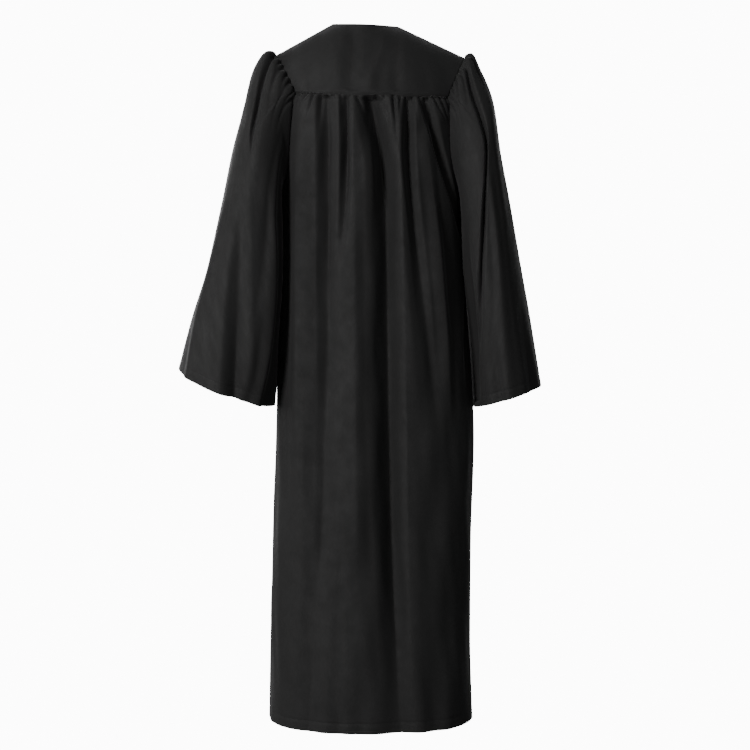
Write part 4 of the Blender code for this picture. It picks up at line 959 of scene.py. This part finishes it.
def cloth_look():
    """Plain weave with slubs, faint creases and uneven dye, laid along the cloth."""
    look = Look("gown_black_cloth")
    look.sockets(Specular_IOR_Level=0.30, Sheen_Weight=0.10, Sheen_Roughness=0.40,
                 Sheen_Tint=(0.98, 0.98, 1.0, 1.0))
    place = look.node("Attribute", attribute_name="cloth_place").outputs["Vector"]
    look.tone(look.noise(place, 7.0, 5.0, 0.55), CLOTH_TONES)
    look.spread(look.noise(place, 34.0, 4.0, 0.6), 0.70, 0.86, "Roughness")
    slub = look.node("Mapping", Scale=(420.0, 34.0, 1.0))
    look.join(place, slub.inputs["Vector"])
    streaks = look.noise(slub.outputs["Vector"], 1.0, 2.0)
    creases = look.noise(place, 26.0, 4.0, 0.55)
    weave = look.threads(place, THREAD_PITCH)
    under = look.bump(creases, 0.20, 0.0018)
    under = look.bump(streaks, 0.20, 0.00010, under)
    look.bump(weave, 0.45, 0.00010, under)
    return look.material


def thread_look():
    look = Look("gown_black_thread")
    look.sockets(Roughness=0.55, Specular_IOR_Level=0.35, Sheen_Weight=0.06)
    twist = look.noise(look.node("TexCoord").outputs["Object"], 900.0, 2.0)
    look.tone(twist, THREAD_TONES)
    look.bump(twist, 0.3, 0.0001)
    return look.material


def tape_look():
    look = Look("zip_black_tape")
    look.sockets(Roughness=0.72, Specular_IOR_Level=0.35, Sheen_Weight=0.10)
    place = look.node("TexCoord").outputs["Object"]
    twill = look.node("TexWave", wave_type="BANDS", bands_direction="DIAGONAL",
                      Scale=WAVE_PERIOD / TWILL_PITCH, Distortion=0.4)
    look.join(place, twill.inputs["Vector"])
    look.tone(look.noise(place, 260.0, 3.0), TAPE_TONES)
    look.bump(twill.outputs["Fac"], 0.5, 0.00018)
    return look.material


def metal_look(name, tones, roughness):
    """Black enamel, slightly worn."""
    look = Look(name)
    look.sockets(Metallic=0.75, Coat_Weight=0.35, Coat_Roughness=0.22)
    wear = look.noise(look.node("TexCoord").outputs["Object"], 420.0, 4.0, 0.6)
    look.tone(wear, tones)
    look.spread(wear, roughness - 0.07, roughness + 0.10, "Roughness")
    look.bump(wear, 0.12, 0.00008)
    return look.material


def area_light(name, place, size, power):
    """Soft light that faces the middle of the gown."""
    light = bpy.data.lights.new(name, "AREA")
    light.shape = "RECTANGLE"
    light.size, light.size_y = size
    light.energy = power
    made = placed(name, light)
    made.location = place
    made.rotation_euler = (Vector(place) - Vector(LIGHT_TARGET)).to_track_quat("Z", "Y").to_euler()


def white_piece(name, mesh):
    """Pure white floor or backdrop that the camera sees and that throws no light."""
    white = bpy.data.materials.new(name + "_white")
    white.use_nodes = True
    nodes, links = white.node_tree.nodes, white.node_tree.links
    nodes.remove(nodes["Principled BSDF"])
    glow = nodes.new("ShaderNodeEmission")
    glow.inputs["Color"].default_value = (1.0, 1.0, 1.0, 1.0)
    glow.inputs["Strength"].default_value = WHITE_STRENGTH
    links.new(glow.outputs["Emission"], nodes["Material Output"].inputs["Surface"])
    mesh.materials.append(white)
    made = placed(name, mesh)
    made.visible_diffuse = False
    made.visible_glossy = False
    made.visible_transmission = False
    made.visible_shadow = False


def make_stage():
    """Camera, faint even light, area lights, and a white room."""
    camera = bpy.data.cameras.new("camera")
    camera.lens = CAMERA_LENS
    camera.sensor_width = 36.0
    holder = placed("camera", camera)
    holder.location = CAMERA_PLACE
    holder.rotation_euler = (math.radians(90.0), 0.0, math.radians(180.0))
    bpy.context.scene.camera = holder
    world = bpy.data.worlds.new("studio")
    world.use_nodes = True
    sky = world.node_tree.nodes["Background"]
    sky.inputs["Color"].default_value = (1.0, 1.0, 1.0, 1.0)
    sky.inputs["Strength"].default_value = AMBIENT
    bpy.context.scene.world = world
    for light in LIGHTS:
        area_light(*light)
    ball = bmesh.new()
    bmesh.ops.create_icosphere(ball, subdivisions=3, radius=BACKDROP_RADIUS)
    mesh = bpy.data.meshes.new("backdrop")
    ball.to_mesh(mesh)
    ball.free()
    white_piece("backdrop", mesh)
    mesh = bpy.data.meshes.new("floor")
    corners = [(x * FLOOR_HALF, y * FLOOR_HALF, FLOOR_Z) for x, y in ((-1, -1), (1, -1), (1, 1), (-1, 1))]
    mesh.from_pydata(corners, [], [(0, 1, 2, 3)])
    white_piece("floor", mesh)


def armhole_loop(yoke, panel, front, front_yoke):
    """Rows beside an armhole: of the back yoke, the back, the front and the front yoke."""
    return np.concatenate((yoke[:-1], panel[:ARMHOLE_ROWS], front[ARMHOLE_ROWS:0:-1], front_yoke[:0:-1]))


def armhole_distance(piece, side):
    """Distance along the cloth from the armhole and side seam edges: both in the back."""
    return piece.from_side if side == 0 else piece.u - piece.u[:, :1]


def yoke_shape(piece, side):
    """Shallow dents and slight unevenness of the yoke, and its turned edge and groove at its seams."""
    x, z = piece.points[..., 0], piece.points[..., 2]
    fade = smooth(piece.from_side / SIDE_FADE) * smooth(piece.v / SIDE_FADE)
    fade = fade * smooth(piece.from_end / YOKE_END_FADE)
    dents = 0.0 * x
    for top, bottom, start, end, half, deep in (BACK_DENTS if side == 0 else FRONT_DENTS):
        share = np.clip((z - top) / (bottom - top), 0.0, 1.0)
        dents += deep * bell(x - (start + (end - start) * share), half, half)
    uneven = unevenness(piece.u, piece.v, SEEDS["yoke"] + side)
    piece.push((uneven * YOKE_UNEVEN - dents) * fade)
    piece.draw_in(piece.normals, np.minimum(piece.from_end, armhole_distance(piece, side)))
    piece.push(YOKE_LIP * groove(piece.from_end, YOKE_LIP_PLACE, YOKE_LIP_PLACE))


def panel_shape(piece, side, seed):
    """Unevenness, seams and hem of the back or of a front."""
    fade = smooth(piece.from_side / SIDE_FADE) * smooth(piece.v / PANEL_FADE)
    piece.push(unevenness(piece.u, piece.v, seed) * fade)
    piece.draw_in(piece.normals, np.minimum(piece.v, armhole_distance(piece, side)))
    piece.hem()


def sleeve_shape(piece, angle, seed, towards):
    """Unevenness that closes on itself round the sleeve, its seam and the hem of the cuff."""
    draw = np.random.default_rng(seed)
    total = 0.0 * angle
    for waves, rise in UNEVEN_TURNS:
        slant, phase, beat, lag = draw.uniform(*TURN_RANGE)
        turned = np.radians(angle) * waves + phase + slant * piece.v * FULL_TURN
        total += rise * np.sin(turned) * np.sin(piece.v * FULL_TURN / beat + lag)
    calm = smooth((SLEEVE_EVEN - np.abs((angle + 180.0) % 360.0 - 180.0)) / SLEEVE_EVEN_RUN)
    piece.push(total * smooth(piece.v / SLEEVE_FADE) * calm)
    piece.draw_in(towards[None], piece.v)
    piece.hem()


def zip_line(height):
    """Middle of the front at these heights and the direction straight out of it."""
    place, above = (np.stack((0.0 * height, -BODY.read("front", height + rise), height + rise), axis=-1)
                    for rise in (0.0, ZIP_STEP))
    up = unit(above - place)
    return place, np.stack((0.0 * height, -up[..., 2], up[..., 1]), axis=-1)


def zip_tapes(look):
    """Two woven tapes that meet behind the slot, one mesh with a fine gap between them."""
    verts, faces = [], []
    size = TAPE_ROWS * TAPE_COLUMNS
    height = np.linspace(*TAPE_SPAN, TAPE_ROWS)
    _, out = zip_line(height)
    for side in (1, -1):
        x = side * np.linspace(TAPE_GAP, TAPE_HALF, TAPE_COLUMNS)
        middle = body_point(body_angle(x[None, :], height[:, None], True), height[:, None])
        middle[..., 1] += TAPE_SET_BACK
        near = shell_faces(TAPE_ROWS, TAPE_COLUMNS) + size * len(verts)
        faces.append(near[:, ::-1] if side > 0 else near)
        for lift in (TAPE_WALL / 2.0, -TAPE_WALL / 2.0):
            verts.append((middle + out[:, None] * lift).reshape(-1, 3))
    made = mesh_object("zip_tape_pair", np.concatenate(verts), np.concatenate(faces), look)
    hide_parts("zip_tape")
    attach(made, "gown")


def zip_coil(look):
    """Interlocked loops of the coil, one for each tooth on either side."""
    path = np.array(COIL_PATH)
    verts, faces, count = [], [], 0
    for side in (1, -1):
        lag = 0.5 * COIL_PITCH if side > 0 else 0.0
        height = np.arange(COIL_SPAN[0] - lag, COIL_SPAN[1], -COIL_PITCH)
        place, out = zip_line(height)
        up = np.cross(np.broadcast_to((1.0, 0.0, 0.0), out.shape), out)
        up = (up * np.sign(up[:, 2:]))[:, None]
        slant = COIL_SLANT * (path[:, 0] / path[0, 0])
        centre = (place[:, None] + out[:, None] * (path[:, 1] - TAPE_SET_BACK)[None, :, None]
                  + up * slant[None, :, None])
        centre[..., 0] += side * path[None, :, 0]
        ahead = unit(np.gradient(centre, axis=1))
        third = unit(np.cross(ahead, up + 0.0 * ahead))
        sections = np.stack([centre + COIL_RADIUS * (third * math.cos(turn) + up * math.sin(turn))
                             for turn in COIL_CORNERS], axis=2)
        verts.append(sections.reshape(-1, 3))
        corners = 4 * len(path)
        faces += tube_faces(len(path), count + corners * np.arange(len(height)))
        count += corners * len(height)
    made = mesh_object("zip_coil", np.concatenate(verts), np.concatenate(faces), look, sharp=80.0)
    solid = bmesh.new()
    solid.from_mesh(made.data)
    bmesh.ops.recalc_face_normals(solid, faces=solid.faces)
    solid.to_mesh(made.data)
    solid.free()
    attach(made, "gown")


def softened(node, name, body, look):
    """Cast metal piece with its edges rounded over, in place of its plain solid."""
    solid = bmesh.new()
    solid.from_mesh(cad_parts[node].data)
    bmesh.ops.remove_doubles(solid, verts=solid.verts, dist=1e-6)
    bmesh.ops.dissolve_limit(solid, angle_limit=math.radians(METAL_FLAT), verts=solid.verts,
                             edges=solid.edges)
    edges = [edge for edge in solid.edges if len(edge.link_faces) == 2
             and edge.calc_face_angle(0.0) > math.radians(METAL_EDGE)]
    bmesh.ops.bevel(solid, geom=edges, offset=METAL_ROUND, segments=2, profile=0.5,
                    affect="EDGES", clamp_overlap=True)
    mesh = bpy.data.meshes.new(name)
    solid.to_mesh(mesh)
    solid.free()
    mesh.materials.clear()
    mesh.materials.append(look)
    mesh.shade_smooth()
    mesh.set_sharp_from_angle(angle=math.radians(METAL_SHARP))
    made = placed(name, mesh)
    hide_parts(node)
    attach(made, body)


def across_line(piece, from_top=None, from_end=None, start=0.0, stop=1.0):
    """Path for stitches across a piece, between two shares of its columns."""
    place = piece.v[-1] - from_end if from_top is None else from_top + 0.0 * piece.v[-1]
    points, lifted = piece.line(place)
    if piece.closed:
        return np.concatenate((points, points[:1])), np.concatenate((lifted, lifted[:1]))
    columns = piece.points.shape[1] - 1
    keep = slice(round(start * columns), round(stop * columns) + 1)
    return points[keep], lifted[keep]


def down_line(piece, inset, low=-9.0):
    """Path for stitches down a piece, beside its last column, above a height."""
    points, lifted = (np.array([read_along(run[-1] - inset, run, row) for run, row in zip(piece.u, grid)])
                      for grid in (piece.points, piece.normals))
    keep = points[:, 2] > low
    return points[keep], unit(lifted[keep])


make_stage()
CLOTH = cloth_look()
THREAD = thread_look()

yoke_grid = back_yoke_points()
panel_grid = panel_points(LEFT, False)
yoke_grid[-1] = panel_grid[0]
yoke = Piece("back_yoke", yoke_grid, False, -1)
panel = Piece("back_panel", panel_grid, False, -1)
yokes, fronts, sleeves, seams, angles = {}, {}, {}, {}, {}
for word, side in SIDES:
    yoke_grid = front_yoke_points(side)
    panel_grid = panel_points(side, True)
    yoke_grid[-1] = panel_grid[0]
    yokes[word] = Piece("front_yoke_" + word, yoke_grid, False, side)
    fronts[word] = Piece("front_panel_" + word, panel_grid, False, side)
    edge = 0 if side > 0 else BACK_COLUMNS
    around = ((yoke, edge), (panel, edge), (fronts[word], 0), (yokes[word], 0))
    loop = armhole_loop(*(piece.points[:, column] for piece, column in around))
    seams[word] = unit(armhole_loop(*(piece.normals[:, column] for piece, column in around)))
    sleeve_grid, angles[word] = sleeve_points(side, loop, YOKE_ROWS + ARMHOLE_ROWS)
    sleeves[word] = Piece("sleeve_" + word, sleeve_grid, True, -side)
for word, side in SIDES:
    yoke_shape(yokes[word], side)
    panel_shape(fronts[word], side, SEEDS["front"] + side)
    sleeve_shape(sleeves[word], angles[word], SEEDS["sleeve"] + side, seams[word])
    fronts[word].tuck(yokes[word].normals[-1])
    sleeves[word].tuck(seams[word])
yoke_shape(yoke, 0)
panel_shape(panel, 0, SEEDS["back"])
panel.tuck(yoke.normals[-1])

for piece in (yoke, panel, *yokes.values(), *fronts.values(), *sleeves.values()):
    made = shell_object(piece, CLOTH)
    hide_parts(piece.name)
    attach(made, "gown")

neck = (NECK_START / YOKE_SPAN, NECK_STOP / YOKE_SPAN)
sewn("stitches_back_yoke", [
    across_line(yoke, from_end=YOKE_STITCH),
    across_line(yoke, from_top=NECK_STITCH, start=neck[0], stop=neck[1]),
    across_line(yoke, from_top=YOKE_STITCH, stop=neck[0]),
    across_line(yoke, from_top=YOKE_STITCH, start=neck[1]),
], THREAD)
sewn("stitches_back_hem", [across_line(panel, from_end=HEM_DEPTH)], THREAD)
for word, _ in SIDES:
    sewn("stitches_front_yoke_" + word, [
        across_line(yokes[word], from_end=YOKE_STITCH, stop=YOKE_STITCH_STOP),
        down_line(yokes[word], NECK_STITCH),
    ], THREAD)
    sewn("stitches_front_" + word, [
        down_line(fronts[word], ZIP_STITCH, low=ZIP_END_Z - ZIP_STITCH_TAIL),
        across_line(fronts[word], from_end=HEM_DEPTH),
    ], THREAD)
    sewn("stitches_cuff_" + word, [across_line(sleeves[word], from_end=HEM_DEPTH)], THREAD)

zip_tapes(tape_look())
zip_coil(metal_look("zip_black_coil", COIL_TONES, 0.34))
METAL = metal_look("zip_black_metal", METAL_TONES, 0.30)
softened("zip_slider", "zip_slider_cast", "gown", METAL)
softened("zip_pull", "zip_pull_cast", "pull", METAL)
